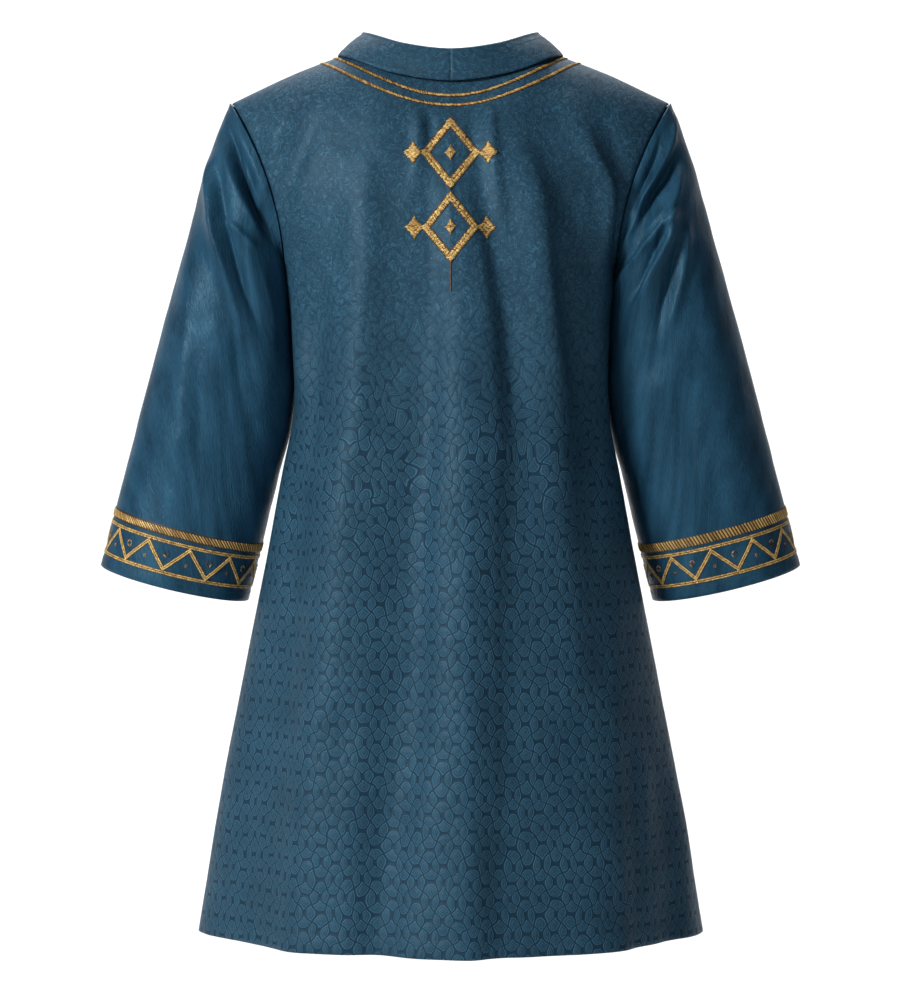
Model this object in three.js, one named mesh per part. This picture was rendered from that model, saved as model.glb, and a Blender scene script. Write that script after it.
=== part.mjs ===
// Embroidered A-line tunic with three-quarter bell sleeves, a turned-down collar, gold neck braids,
// diamond embroidery on the upper back and embroidered cuffs. It keeps the hollow form of a worn garment.
// Millimetres, +Z up. The origin lies midway between the points where the shoulder seams meet the neckline.
// -Y is the back of the garment, +Y its front, and +X the wearer's right.
import * as THREE from "three";

// Cloth and trims
const CLOTH = 1.4; // wall of the body, sleeves and collar
const SEAM_GAP = 0.3; // between pieces that are sewn together
const TRIM_GAP = 1; // between the cloth and a trim's underside
const TRIM = 1.2; // how thick a braid or embroidered motif is

// Body
const HEM_Z = -834;
const UNDERARM = { x: 157, z: -205 };
const SHOULDER = { x: 207, z: -49 };
const SHOULDER_ROUNDING = 2.5; // how far the shoulder seam bows up between neck and sleeve
const ARMHOLE = {
  back: { reach: 47, scoop: 0 }, // how far the edge curves back, and in towards the spine
  front: { reach: 57, scoop: 6 },
};
const ARMHOLE_SLANT = 1.9; // above 1, the armhole stays upright low down and leans out near the shoulder

// Half width at the side seams, and depth at the centre back and centre front, from the hem up
const BODY = [
  { z: HEM_Z, side: 239.5, back: 165, front: 160 },
  { z: -720, side: 221, back: 147, front: 146 },
  { z: -600, side: 198.5, back: 131, front: 133 },
  { z: -480, side: 175, back: 118, front: 123 },
  { z: -400, side: 160.5, back: 110, front: 119 },
  { z: -340, side: 149.5, back: 104, front: 119 },
  { z: -270, side: 150.5, back: 102, front: 121 },
  { z: UNDERARM.z, side: UNDERARM.x, back: 103, front: 119 },
];

const HEM_FLATNESS = 1.35; // above 1, the side seams close to a sharper edge at the hem

// Centre line of the yoke, from the underarm level to the neckline
const YOKE = {
  back: [
    { z: UNDERARM.z, depth: 103 },
    { z: -165, depth: 103 },
    { z: -130, depth: 99 },
    { z: -95, depth: 90 },
    { z: -65, depth: 77 },
    { z: -31, depth: 58 },
  ],
  front: [
    { z: UNDERARM.z, depth: 119 },
    { z: -165, depth: 112 },
    { z: -125, depth: 100 },
    { z: -85, depth: 84 },
  ],
};
const YOKE_ARC = { side: 90, yoke: 60 }; // degrees that half a row turns through
const NECK = {
  half: 88,
  back: { depth: 58, drop: 31 },
  front: { depth: 84, drop: 85 },
};
const NECK_COLUMN = 0.42; // where across a panel the neckline meets the shoulder seam
const SLIT = { half: 8, bottom: -205 }; // front neck slit: half its width at the top, and its foot

// Sleeve: the outer and inner edges as seen from behind, how deep it is and how far it swings forward
const SLEEVE = [
  { along: 0.1, outX: 222, outZ: -70, inX: 158.8, inZ: -212, deep: 54, forward: 1 },
  { along: 0.22, outX: 233, outZ: -111, inX: 155.5, inZ: -232, deep: 58, forward: 4 },
  { along: 0.36, outX: 249, outZ: -171, inX: 153, inZ: -265, deep: 61, forward: 9 },
  { along: 0.52, outX: 270.5, outZ: -246, inX: 151, inZ: -318, deep: 62, forward: 15 },
  { along: 0.68, outX: 292.5, outZ: -325, inX: 158.5, inZ: -374, deep: 61, forward: 21 },
  { along: 0.84, outX: 314, outZ: -406, inX: 174.5, inZ: -443, deep: 60, forward: 27 },
  { along: 1, outX: 335.5, outZ: -487, inX: 194.5, inZ: -521, deep: 60, forward: 33 },
];
const CAP_BLEND = 0.3; // share of the sleeve over which the armhole's outline turns into an oval
const CAP_PUFF = 1.5; // how far the sleeve's head stands out beside the shoulder seam
const CUFF_TILT = 6; // how much lower the back of the cuff hangs

// Collar, by degrees round the neck from the centre back: the fold, and the edge of the fall
const COLLAR = [
  { turn: -30, foldX: -41, foldY: -54.5, foldZ: -0.5, edgeX: -52, edgeY: -61.8, edgeZ: -29.5 },
  { turn: 0, foldX: 0, foldY: -62.5, foldZ: -6.5, edgeX: 0, edgeY: -65.5, edgeZ: -37 },
  { turn: 30, foldX: 41, foldY: -54.5, foldZ: -0.5, edgeX: 52, edgeY: -61.8, edgeZ: -29.5 },
  { turn: 60, foldX: 71.5, foldY: -31.5, foldZ: 11.5, edgeX: 88.5, edgeY: -48.5, edgeZ: -15 },
  { turn: 75, foldX: 79.5, foldY: -15, foldZ: 16, edgeX: 102.5, edgeY: -27.5, edgeZ: -8 },
  { turn: 90, foldX: 82.5, foldY: 2, foldZ: 18, edgeX: 107, edgeY: 1, edgeZ: -4 },
  { turn: 105, foldX: 79.5, foldY: 22, foldZ: 10, edgeX: 103.5, edgeY: 26.8, edgeZ: -9 },
  { turn: 120, foldX: 71, foldY: 41, foldZ: -5, edgeX: 93.2, edgeY: 49.8, edgeZ: -23 },
  { turn: 135, foldX: 58, foldY: 58, foldZ: -26, edgeX: 75.5, edgeY: 69, edgeZ: -42 },
  { turn: 150, foldX: 41.5, foldY: 71.5, foldZ: -48, edgeX: 53, edgeY: 83.2, edgeZ: -69 },
  { turn: 165, foldX: 23, foldY: 80.5, foldZ: -64, edgeX: 29.5, edgeY: 91, edgeZ: -90 },
  { turn: 178, foldX: 10.5, foldY: 84, foldZ: -70, edgeX: 15.5, edgeY: 93, edgeZ: -96.5 },
];
const COLLAR_FOLD = 2.6; // radius that the collar's cloth turns through at its fold
const COLLAR_BOW = 1.3; // how far the fall rounds out between the fold and its edge
const COLLAR_LIFT = 1.8; // height of the stand's foot over the neckline

// Neck braids: where they cross the shoulders, their height at the centre back and the shoulder, and how far
// forward their oval reaches
const BRAIDS = [
  { name: "neck_braid_inner", width: 4, half: 109.5, lowZ: -51.3, highZ: -8, front: 94 },
  { name: "neck_braid_outer", width: 3.6, half: 122, lowZ: -61, highZ: -13, front: 103 },
];
const BRAID_END = 175.4; // degrees from the centre back at which a braid stops, beside the slit

// Diamond embroidery on the upper back, by the height of each diamond's middle
const DIAMONDS = [
  { name: "upper", z: -107.2, halfWidth: 27.2, halfHeight: 34.3, earX: 34.8 },
  { name: "lower", z: -176.2, halfWidth: 26.2, halfHeight: 32.8, earX: 33.2 },
];
const DIAMOND_OPENING = 0.7; // size of the hole in a diamond's frame against its outside
const EAR = { halfWidth: 7.8, halfHeight: 10, neck: 1.5, hollow: 0.8 };
const STAR = { halfWidth: 5.4, halfHeight: 6.6, waist: 0.36 };

// Cuff trims, by millimetres from the cuff's edge
const CUFF_TRIMS = [
  { name: "cuff_rope", low: 47, high: 57, crown: 1 },
  { name: "cuff_line_upper", low: 41.4, high: 44.4, crown: 0.4 },
  { name: "cuff_line_lower", low: 12.8, high: 15.8, crown: 0.4 },
];
const ZIGZAG = { low: 16.4, high: 40.8, waves: 11, band: 3.6, phase: 0.5 };
const NEAR_CUFF = 508; // millimetres of cloth that the sleeve's whole share stands for, near its edge

// Largest folds: from a to b as seen from behind or in front, left and right widths, how far out or in at
// each end
const BACK_FOLDS = [
  { ax: -75, az: -100, bx: -145, bz: HEM_Z, left: 30, right: 26, atA: 1.5, atB: 8 },
  { ax: -48, az: -330, bx: -70, bz: HEM_Z, left: 24, right: 24, atA: -2, atB: -6 },
  { ax: 8, az: -245, bx: 16, bz: HEM_Z, left: 42, right: 17, atA: 3, atB: 9 },
  { ax: 50, az: -330, bx: 62, bz: HEM_Z, left: 22, right: 26, atA: -2.5, atB: -6 },
  { ax: 66, az: -110, bx: 112, bz: -560, left: 24, right: 18, atA: 2, atB: 5 },
  { ax: 122, az: -230, bx: 112, bz: -400, left: 16, right: 20, atA: -4.5, atB: -2 },
  { ax: 146, az: -560, bx: 154, bz: HEM_Z, left: 30, right: 12, atA: 2, atB: 7 },
  { ax: -172, az: -85, bx: -158, bz: -225, left: 7, right: 15, atA: 2, atB: 4 },
  { ax: 172, az: -85, bx: 158, bz: -225, left: 15, right: 7, atA: 2, atB: 4 },
];
const FRONT_FOLDS = [
  { ax: -60, az: -260, bx: -118, bz: HEM_Z, left: 26, right: 30, atA: 1.5, atB: 8 },
  { ax: -12, az: -330, bx: -30, bz: HEM_Z, left: 30, right: 26, atA: -1.5, atB: -7 },
  { ax: 30, az: -280, bx: 44, bz: HEM_Z, left: 26, right: 28, atA: 1.5, atB: 8 },
  { ax: 78, az: -330, bx: 106, bz: HEM_Z, left: 24, right: 24, atA: -2, atB: -6 },
  { ax: 118, az: -300, bx: 170, bz: HEM_Z, left: 22, right: 20, atA: 1.5, atB: 6 },
  { ax: -120, az: -380, bx: -178, bz: HEM_Z, left: 20, right: 20, atA: -1, atB: -4 },
];
const SLEEVE_FOLDS = [
  { ax: 222, az: -72, bx: 168, bz: -190, left: 9, right: 12, atA: -4, atB: -5 },
  { ax: 232, az: -112, bx: 176, bz: -240, left: 12, right: 10, atA: 3, atB: 4 },
  { ax: 240, az: -150, bx: 190, bz: -300, left: 11, right: 13, atA: -3.5, atB: -4 },
  { ax: 245, az: -200, bx: 262, bz: -430, left: 16, right: 16, atA: 2.5, atB: 3 },
  { ax: 212, az: -330, bx: 226, bz: -450, left: 15, right: 15, atA: -2.5, atB: -2 },
];

// Grid sizes
const GRID = {
  back: { neck: 7, side: 6, skirt: 12, yoke: 17 },
  front: { neck: 6, side: 5, skirt: 11, yoke: 16 },
  sleeve: { round: 30, along: 14 },
  collar: { round: 17, fall: 4 },
  braid: 80,
  cuff: 44,
  zigzagLeg: 2,
  motifSide: 6, // longest side of a motif's outline, in millimetres
};

const { PI, sin, cos, abs, sign, max, min, exp, hypot } = Math;
const radians = THREE.MathUtils.degToRad;
const clamp01 = (value) => min(1, max(0, value));
const smooth = (value) => clamp01(value) ** 2 * (3 - 2 * clamp01(value));
const steps = (count, from = 0, to = 1) =>
  Array.from({ length: count + 1 }, (_, i) => from + ((to - from) * i) / count);

// A smooth curve through one column of a table, read at a value of the column that orders its rows.
function read(table, by, column, value) {
  const last = table.length - 1;
  let i = table.findIndex((row, k) => k < last && value <= max(row[by], table[k + 1][by]));
  if (i < 0) i = last - 1;
  const slope = (k) => {
    const a = table[max(0, k - 1)];
    const b = table[min(last, k + 1)];
    return (b[column] - a[column]) / (b[by] - a[by]);
  };
  const step = table[i + 1][by] - table[i][by];
  const t = clamp01((value - table[i][by]) / step);
  const [t2, t3] = [t * t, t * t * t];
  return (
    (2 * t3 - 3 * t2 + 1) * table[i][column] +
    (t3 - 2 * t2 + t) * step * slope(i) +
    (3 * t2 - 2 * t3) * table[i + 1][column] +
    (t3 - t2) * step * slope(i + 1)
  );
}

// How far the folds lift the cloth at a point seen square on.
function foldHeight(folds, x, z) {
  let height = 0;
  for (const fold of folds) {
    const [dx, dz] = [fold.bx - fold.ax, fold.bz - fold.az];
    const long = hypot(dx, dz);
    const along = ((x - fold.ax) * dx + (z - fold.az) * dz) / long;
    const aside = ((x - fold.ax) * dz - (z - fold.az) * dx) / long; // positive on the left
    const width = aside > 0 ? fold.left : fold.right;
    const past = max(0, -along, along - long) / (fold.left + fold.right);
    const depth = fold.atA + (fold.atB - fold.atA) * clamp01(along / long);
    height += depth * exp(-((aside / width) ** 2) - past * past);
  }
  return height;
}

// The neckline, by degrees from the centre back.
function neckline(turn) {
  const [s, c] = [sin(radians(turn)), cos(radians(turn))];
  const part = c >= 0 ? NECK.back : NECK.front;
  const slit = c >= 0 ? 0 : SLIT.half * (1 - abs(s)) * (sign(s) || 1);
  return new THREE.Vector3(NECK.half * s + slit, -part.depth * c, -part.drop * c * c);
}

// The armhole's edge: 0 is the underarm and 1 the shoulder.
function armholeEdge(face, share) {
  const { reach, scoop } = ARMHOLE[face];
  const bulge = sin(PI * share);
  const up = (1 - cos(PI * share)) / 2;
  // The scoop goes with the bulge's square, so it starts slowly and the sleeve clears the side seam.
  return new THREE.Vector3(
    UNDERARM.x + (SHOULDER.x - UNDERARM.x) * up ** ARMHOLE_SLANT - scoop * bulge * bulge,
    (face === "back" ? -1 : 1) * reach * bulge,
    UNDERARM.z + (SHOULDER.z - UNDERARM.z) * up,
  );
}

// The top edge of a panel: the neckline, then the shoulder seam out to the sleeve.
function topEdge(face, across) {
  const share = abs(across);
  const turn = (face === "back" ? 90 : -90) * min(1, share / NECK_COLUMN);
  const point = neckline(face === "back" ? turn : 180 + turn);
  if (share > NECK_COLUMN) {
    const out = (share - NECK_COLUMN) / (1 - NECK_COLUMN);
    point.set(
      NECK.half + (SHOULDER.x - NECK.half) * out,
      0,
      SHOULDER.z * out + SHOULDER_ROUNDING * sin(PI * out),
    );
  }
  point.x = abs(point.x);
  return point;
}

// How the top edge's pull on the rows below is averaged across, so that the neck's corner leaves no crease.
const LIFT_TAPS = [
  { shift: -0.3, share: 0.12 },
  { shift: -0.15, share: 0.22 },
  { shift: 0, share: 0.32 },
  { shift: 0.15, share: 0.22 },
  { shift: 0.3, share: 0.12 },
];

// One row of a panel's yoke, from the centre line to the armhole's edge.
function yokeRow(face, across, share) {
  const outward = face === "back" ? -1 : 1;
  const centreZ = UNDERARM.z + (YOKE[face].at(-1).z - UNDERARM.z) * share;
  const centreY = outward * read(YOKE[face], "z", "depth", centreZ);
  const edge = armholeEdge(face, share);
  const arc = radians(YOKE_ARC.side + (YOKE_ARC.yoke - YOKE_ARC.side) * smooth(share / 0.45));
  const bend = (1 - cos(arc * across)) / (1 - cos(arc));
  return new THREE.Vector3(
    (edge.x * sin(arc * across)) / sin(arc),
    centreY + (edge.y - centreY) * bend,
    centreZ + (edge.z - centreZ) * bend,
  );
}

// A panel before its folds. across runs from 0 at the centre to 1 at the side seam or armhole, and
// up from 0 at the hem to 1 at the underarm and 2 at the neckline.
function plainPanel(face, across, up) {
  if (up <= 1) {
    const z = HEM_Z + (UNDERARM.z - HEM_Z) * up;
    const turn = (PI / 2) * across;
    const flatness = 1 + (HEM_FLATNESS - 1) * (1 - up) ** 1.5;
    const depth = read(BODY, "z", face, z) * max(0, cos(turn)) ** flatness;
    return new THREE.Vector3(read(BODY, "z", "side", z) * sin(turn), face === "back" ? -depth : depth, z);
  }
  const rise = up - 1;
  const lift = new THREE.Vector3();
  for (const { shift, share } of LIFT_TAPS) {
    const near = abs(across + shift * (1 - rise) * (1 - across * across));
    lift.addScaledVector(topEdge(face, near).sub(yokeRow(face, near, 1)), share);
  }
  const point = yokeRow(face, across, rise);
  const shoulder = smooth(across / NECK_COLUMN) * (1 - across ** 6);
  const pulled = shoulder * (yokeRow(face, across, 1).z - point.z);
  const early = 1 - (1 - rise ** 4) ** 1.8; // the height settles before the depth, so the shoulder is round
  point.z += early * (lift.z + pulled);
  point.x += rise ** 4 * lift.x;
  point.y += rise ** 4 * lift.y;
  return point;
}

// Half the slit's width at a height.
const slitHalf = (z) => SLIT.half * clamp01((z - SLIT.bottom) / (YOKE.front.at(-1).z - SLIT.bottom));

// A normal that points out of the cloth, from the surface's own slopes.
function normalOf(surface, a, b, flip) {
  const d = 1e-3;
  const along = surface(a + d, b).sub(surface(a - d, b));
  const other = surface(a, b + d).sub(surface(a, b - d));
  return along.cross(other).normalize().multiplyScalar(flip ? -1 : 1);
}

const between = (value, low, high) => min(high, max(low, value));

// The panel as it hangs: across runs from -1 to 1, with its folds, and with the slit on the front.
function panel(face, across, up) {
  const half = sign(across) || 1;
  const point = plainPanel(face, min(1, abs(across)), up);
  point.x *= half;
  const { side, [face]: depth } = BODY.at(-1);
  const outward = new THREE.Vector3(point.x / side ** 2, point.y / depth ** 2, 0).normalize();
  const hold = cos((PI / 2) * min(1, across * across)) * (1 - clamp01(up - 1) ** 5);
  const folds = face === "back" ? BACK_FOLDS : FRONT_FOLDS;
  point.addScaledVector(outward, foldHeight(folds, point.x, point.z) * hold);
  if (face === "front") {
    const neckShare = min(1, abs(across) / NECK_COLUMN);
    point.x += half * slitHalf(point.z) * (1 - neckShare) * (1 - clamp01(up - 1) ** 4);
  }
  return point;
}

// Spots for a grid of points: each with the way the cloth faces there, averaged over the faces round it.
function facing(points, { closed = false, flip = false }) {
  const grid = points.map((row) => row.map((point) => ({ point, normal: new THREE.Vector3() })));
  const width = grid[0].length;
  for (let j = 0; j + 1 < grid.length; j += 1) {
    for (let i = 0; i < (closed ? width : width - 1); i += 1) {
      const next = (i + 1) % width;
      const corners = [grid[j][i], grid[j][next], grid[j + 1][next], grid[j + 1][i]];
      const [a, b, c, d] = corners.map((spot) => spot.point);
      const way = c.clone().sub(a).cross(d.clone().sub(b)).multiplyScalar(flip ? -1 : 1);
      for (const spot of corners) spot.normal.add(way);
    }
  }
  for (const row of grid) for (const spot of row) spot.normal.normalize();
  return grid;
}

// The sleeve before its folds. round runs from the underarm over the back to the shoulder and down the
// front, and along from the armhole to the cuff.
function plainSleeve(side, round, along) {
  const [s, c] = [sin(2 * PI * round), cos(2 * PI * round)];
  const value = (column) => read(SLEEVE, "along", column, max(SLEEVE[0].along, along));
  const middle = (out, inn) => (value(out) + value(inn)) / 2 - (c * (value(out) - value(inn))) / 2;
  const point = new THREE.Vector3(middle("outX", "inX"), 0, middle("outZ", "inZ"));
  point.y = value("forward") - s * value("deep");
  point.z -= CUFF_TILT * s * smooth(along / 0.8);
  const edge = armholeEdge(s >= 0 ? "back" : "front", 1 - abs(2 * (round - Math.floor(round)) - 1));
  edge.x += SEAM_GAP + 0.25 + 0.6 * abs(s);
  const started = clamp01(along / SLEEVE[0].along);
  point.lerp(edge, 1 - started + started * (1 - smooth(along / CAP_BLEND)));
  if (started < 1) point.x += CAP_PUFF * sin(PI * started) * max(0, -c);
  point.x *= side;
  return point;
}

function sleevePoint(side, round, along) {
  const plain = (a, b) => plainSleeve(side, a, between(b, 0, 1));
  const point = plain(round, along);
  const hold =
    abs(sin(2 * PI * round)) ** 1.5 * smooth(along / 0.12) * (1 - smooth((along - 0.72) / 0.1));
  const normal = normalOf(plain, round, between(along, 0.005, 0.995), side > 0);
  return point.addScaledVector(normal, foldHeight(SLEEVE_FOLDS, abs(point.x), point.z) * hold);
}

// The collar's cloth: up the stand inside, over the fold and down the fall. share runs over the three.
function collarPoint(turn, share) {
  const side = sign(turn) || 1;
  const value = (column) => read(COLLAR, "turn", column, abs(turn));
  const foot = neckline(abs(turn));
  const fold = new THREE.Vector3(value("foldX"), value("foldY"), value("foldZ"));
  const edge = new THREE.Vector3(value("edgeX"), value("edgeY"), value("edgeZ"));
  const out = edge.clone().sub(foot).setZ(0).normalize();
  foot.addScaledVector(out, -CLOTH * 0.5).setZ(foot.z + COLLAR_LIFT);
  const rim = (angle) => {
    const up = COLLAR_FOLD * (sin(angle) - 1);
    return fold.clone().addScaledVector(out, -COLLAR_FOLD * cos(angle)).add(new THREE.Vector3(0, 0, up));
  };
  let point;
  if (share < 1) {
    point = foot.lerp(rim(0), share);
  } else if (share < 2) {
    point = rim(radians(165) * (share - 1));
  } else {
    const bow = COLLAR_BOW * sin(PI * (share - 2));
    point = rim(radians(165)).lerp(edge, share - 2).addScaledVector(out, bow);
    point.z += bow / 2;
  }
  point.x *= side;
  return point;
}

// A closed wall: the outer skin as given, an inner skin that much further in, and rims where it ends.
function wall(points, normals, faces, thickness) {
  const inner = points.map((point, i) => point.clone().addScaledVector(normals[i], -thickness));
  const shift = points.length;
  const triangles = [];
  const edges = new Set();
  for (const face of faces) {
    face.forEach((a, k) => edges.add(`${a},${face[(k + 1) % face.length]}`));
    for (let k = 1; k + 1 < face.length; k += 1) {
      triangles.push(face[0], face[k], face[k + 1]);
      triangles.push(face[0] + shift, face[k + 1] + shift, face[k] + shift);
    }
  }
  for (const edge of edges) {
    const [a, b] = edge.split(",").map(Number);
    if (!edges.has(`${b},${a}`)) triangles.push(a + shift, b + shift, b, a + shift, b, a);
  }
  const geometry = new THREE.BufferGeometry();
  const positions = [...points, ...inner].flatMap((point) => point.toArray());
  geometry.setAttribute("position", new THREE.Float32BufferAttribute(positions, 3));
  geometry.setIndex(triangles);
  geometry.computeVertexNormals();
  return geometry;
}

// A wall over a grid of spots. A closed grid joins its last column to its first. alias gives the column
// whose spot stands for another's, where two are one.
function gridWall(grid, { closed = false, flip = false, alias = (i) => i, thickness }) {
  const width = grid[0].length;
  const number = (i, j) => j * width + alias(closed ? i % width : i, j);
  const faces = [];
  for (let j = 0; j + 1 < grid.length; j += 1) {
    for (let i = 0; i < (closed ? width : width - 1); i += 1) {
      const face = [number(i, j), number(i + 1, j), number(i + 1, j + 1), number(i, j + 1)];
      const corners = face.filter((corner, k) => face.indexOf(corner) === k);
      if (corners.length > 2) faces.push(flip ? corners.reverse() : corners);
    }
  }
  const used = [...new Set(faces.flat())];
  const place = new Map(used.map((corner, k) => [corner, k]));
  const spots = used.map((corner) => grid[Math.floor(corner / width)][corner % width]);
  return wall(
    spots.map((spot) => spot.point),
    spots.map((spot) => spot.normal),
    faces.map((face) => face.map((corner) => place.get(corner))),
    thickness,
  );
}

// A spot on a trim, by its height above the cloth.
const raised = ({ point, normal }, height) => ({ point: point.clone().addScaledVector(normal, height), normal });

const TOP = TRIM_GAP + TRIM;

const cloth = new THREE.MeshStandardMaterial({ color: 0x274a63, roughness: 0.55, metalness: 0 });
const sleeveCloth = new THREE.MeshStandardMaterial({ color: 0x244861, roughness: 0.45, metalness: 0 });
const goldThread = new THREE.MeshStandardMaterial({ color: 0xb98b35, roughness: 0.42, metalness: 0.6 });

const tunic = new THREE.Group();
function piece(name, geometry, material) {
  const mesh = new THREE.Mesh(geometry, material);
  mesh.name = name;
  tunic.add(mesh);
}

// The panels' spots. Rims along the side and shoulder seams keep half a seam gap from the other panel.
function panelGrid(face, columns) {
  const { skirt, yoke } = GRID[face];
  const rows = [...steps(skirt, 0.0006, 1), ...steps(yoke).slice(1).map((share) => 1 + 0.999 * share ** 0.8)];
  const points = rows.map((up) => columns.map((across) => panel(face, across, up)));
  const grid = facing(points, { flip: face === "front" });
  grid.forEach((row, j) => {
    row.forEach((spot, i) => {
      const shoulder = j === rows.length - 1 && abs(columns[i]) > NECK_COLUMN;
      if (!shoulder && (abs(columns[i]) < 1 || j > skirt)) return;
      spot.point.y = (face === "back" ? -1 : 1) * max(SEAM_GAP / 2 + 0.01, abs(spot.point.y));
      spot.normal.setY(0).normalize();
    });
  });
  return grid;
}

const halfColumns = ({ neck, side }, from) => [
  ...steps(neck, from, NECK_COLUMN),
  ...steps(side, NECK_COLUMN, 1).slice(1),
];
const mirrored = (columns) => columns.map((across) => -across).reverse();
const columns = { back: halfColumns(GRID.back, 0), front: halfColumns(GRID.front, 1e-6) };
const halfFront = columns.front.length - 1;
const skins = {
  back: panelGrid("back", [...mirrored(columns.back.slice(1)), ...columns.back]),
  front: panelGrid("front", [...mirrored(columns.front), ...columns.front]),
};

function frontPanel() {
  const open = skins.front.map((row) => row[halfFront].point.z > SLIT.bottom + 1);
  const alias = (i, j) => (i === halfFront + 1 && !open[j] ? halfFront : i);
  return gridWall(skins.front, { flip: true, alias, thickness: CLOTH });
}

// The spot of a panel's cloth at x and at a value of y or z, above the underarm.
function onPanel(face, x, axis, value) {
  const grid = skins[face];
  for (let j = GRID[face].skirt - 1; j + 1 < grid.length; j += 1) {
    for (let i = 0; i + 1 < grid[j].length; i += 1) {
      const [a, b, c, d] = [grid[j][i], grid[j][i + 1], grid[j + 1][i + 1], grid[j + 1][i]];
      for (const [p, q, r] of face === "back" ? [[a, b, c], [a, c, d]] : [[d, c, b], [d, b, a]]) {
        const [qx, qv] = [q.point.x - p.point.x, q.point[axis] - p.point[axis]];
        const [rx, rv] = [r.point.x - p.point.x, r.point[axis] - p.point[axis]];
        const [px, pv] = [x - p.point.x, value - p.point[axis]];
        const area = qx * rv - qv * rx;
        const [s, t] = [(px * rv - pv * rx) / area, (qx * pv - qv * px) / area];
        if (s < -1e-6 || t < -1e-6 || s + t > 1 + 1e-6) continue;
        const mix = (key) =>
          p[key].clone().multiplyScalar(1 - s - t).addScaledVector(q[key], s).addScaledVector(r[key], t);
        return { point: mix("point"), normal: mix("normal").normalize() };
      }
    }
  }
  throw new Error(`the ${face} panel has no cloth at x ${x}, ${axis} ${value}`);
}

function sleeveSpot(side, round, along) {
  const surface = (a, b) => sleevePoint(side, a, b);
  return {
    point: surface(round, along),
    normal: normalOf(surface, round, between(along, 0.003, 0.997), side > 0),
  };
}

function sleeve(side) {
  const { round, along } = GRID.sleeve;
  const ring = (b) => steps(round).slice(1).map((a) => sleevePoint(side, a, b));
  const shape = { closed: true, flip: side > 0, thickness: CLOTH };
  return gridWall(facing(steps(along).map(ring), shape), shape);
}

function collarHalf(side) {
  const turns = steps(GRID.collar.round, 0.14, COLLAR.at(-1).turn);
  const shares = [0, 0.5, 1, 1.33, 1.67, ...steps(GRID.collar.fall, 2, 3)];
  const shape = { flip: side > 0, thickness: CLOTH };
  const grid = facing(shares.map((b) => turns.map((a) => collarPoint(side * a, b))), shape);
  for (const [spot] of grid) {
    spot.point.x = side * (SEAM_GAP / 2 + 0.01);
    spot.normal.setX(0).normalize();
  }
  return gridWall(grid, shape);
}

// A raised strip along a line of spots, a little higher along its middle.
function strip(spots, width, crown, closed) {
  const last = spots.length - 1;
  const sides = spots.map(({ normal }, i) => {
    const next = spots[closed ? (i + 1) % spots.length : min(last, i + 1)].point;
    const before = spots[closed ? (i + last) % spots.length : max(0, i - 1)].point;
    return next.clone().sub(before).cross(normal).normalize();
  });
  const grid = [-0.5, 0, 0.5].map((share) =>
    spots.map((spot, i) => {
      const { point, normal } = raised(spot, TOP + (share === 0 ? crown : 0));
      return { point: point.addScaledVector(sides[i], share * width), normal };
    }),
  );
  return gridWall(grid, { closed, flip: true, thickness: TRIM });
}

// The spot where a braid crosses a shoulder seam.
function overShoulder(x) {
  const sides = ["back", "front"].map((face) => onPanel(face, x, "y", face === "back" ? -1 : 1));
  const point = sides[0].point.clone().add(sides[1].point).multiplyScalar(0.5);
  return { point, normal: sides[0].normal.clone().add(sides[1].normal).setY(0).normalize() };
}

function neckBraid({ width, half, lowZ, highZ, front }) {
  const quarter = steps(GRID.braid / 4).slice(1, -1);
  const forward = steps(GRID.braid / 4, 90, BRAID_END).slice(1);
  const turns = [...quarter.map((share) => 90 * share), 90, ...forward];
  const spots = [...turns.map((turn) => -turn).reverse(), 0, ...turns].map((turn) => {
    const [s, c] = [sin(radians(turn)), cos(radians(turn))];
    if (abs(turn) === 90) return overShoulder(half * s);
    if (c < 0) return onPanel("front", half * s, "y", -front * c);
    return onPanel("back", half * s, "z", highZ + (lowZ - highZ) * cos((PI / 2) * s));
  });
  return strip(spots, width, 0.5, false);
}

// A shape cut to an outline, laid on the back: the outline and its hole are given from its middle.
function motif(middle, outline, hole) {
  const divide = (corners) =>
    corners.flatMap((corner, i) => {
      const next = corners[(i + 1) % corners.length];
      const count = Math.ceil(corner.distanceTo(next) / GRID.motifSide);
      return steps(count).slice(0, -1).map((share) => corner.clone().lerp(next, share));
    });
  const [outer, inner] = [divide(outline), hole ? divide(hole) : []];
  const faces = THREE.ShapeUtils.triangulateShape(outer, hole ? [inner] : []);
  const spots = [...outer, ...inner].map(({ x, y }) => raised(onPanel("back", x, "z", middle + y), TOP));
  return wall(
    spots.map((spot) => spot.point),
    spots.map((spot) => spot.normal),
    faces,
    TRIM,
  );
}

// A corner-by-corner outline from the points of one quarter, which run from above the middle to its side.
function fourfold(quarter) {
  const turned = (sx, sy, points) => points.map(([x, y]) => new THREE.Vector2(sx * x, sy * y));
  const right = [...turned(1, 1, quarter), ...turned(1, -1, quarter.slice(0, -1)).reverse()];
  const left = right.slice(1, -1).map(({ x, y }) => new THREE.Vector2(-x, y)).reverse();
  return [...right, ...left].reverse();
}

function diamondFrame({ z, halfWidth, halfHeight, earX }) {
  const nearTip = halfWidth * (1 - EAR.neck / halfHeight);
  const quarter = [
    [0, halfHeight],
    [nearTip, EAR.neck],
    [earX - EAR.halfWidth / 2, (EAR.halfHeight / 2) * EAR.hollow],
    [earX, EAR.halfHeight],
    [earX + EAR.halfWidth / 2, (EAR.halfHeight / 2) * EAR.hollow],
    [earX + EAR.halfWidth, 0],
  ];
  const hole = [
    [0, halfHeight * DIAMOND_OPENING],
    [halfWidth * DIAMOND_OPENING, 0],
  ];
  return motif(z, fourfold(quarter), fourfold(hole).reverse());
}

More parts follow.
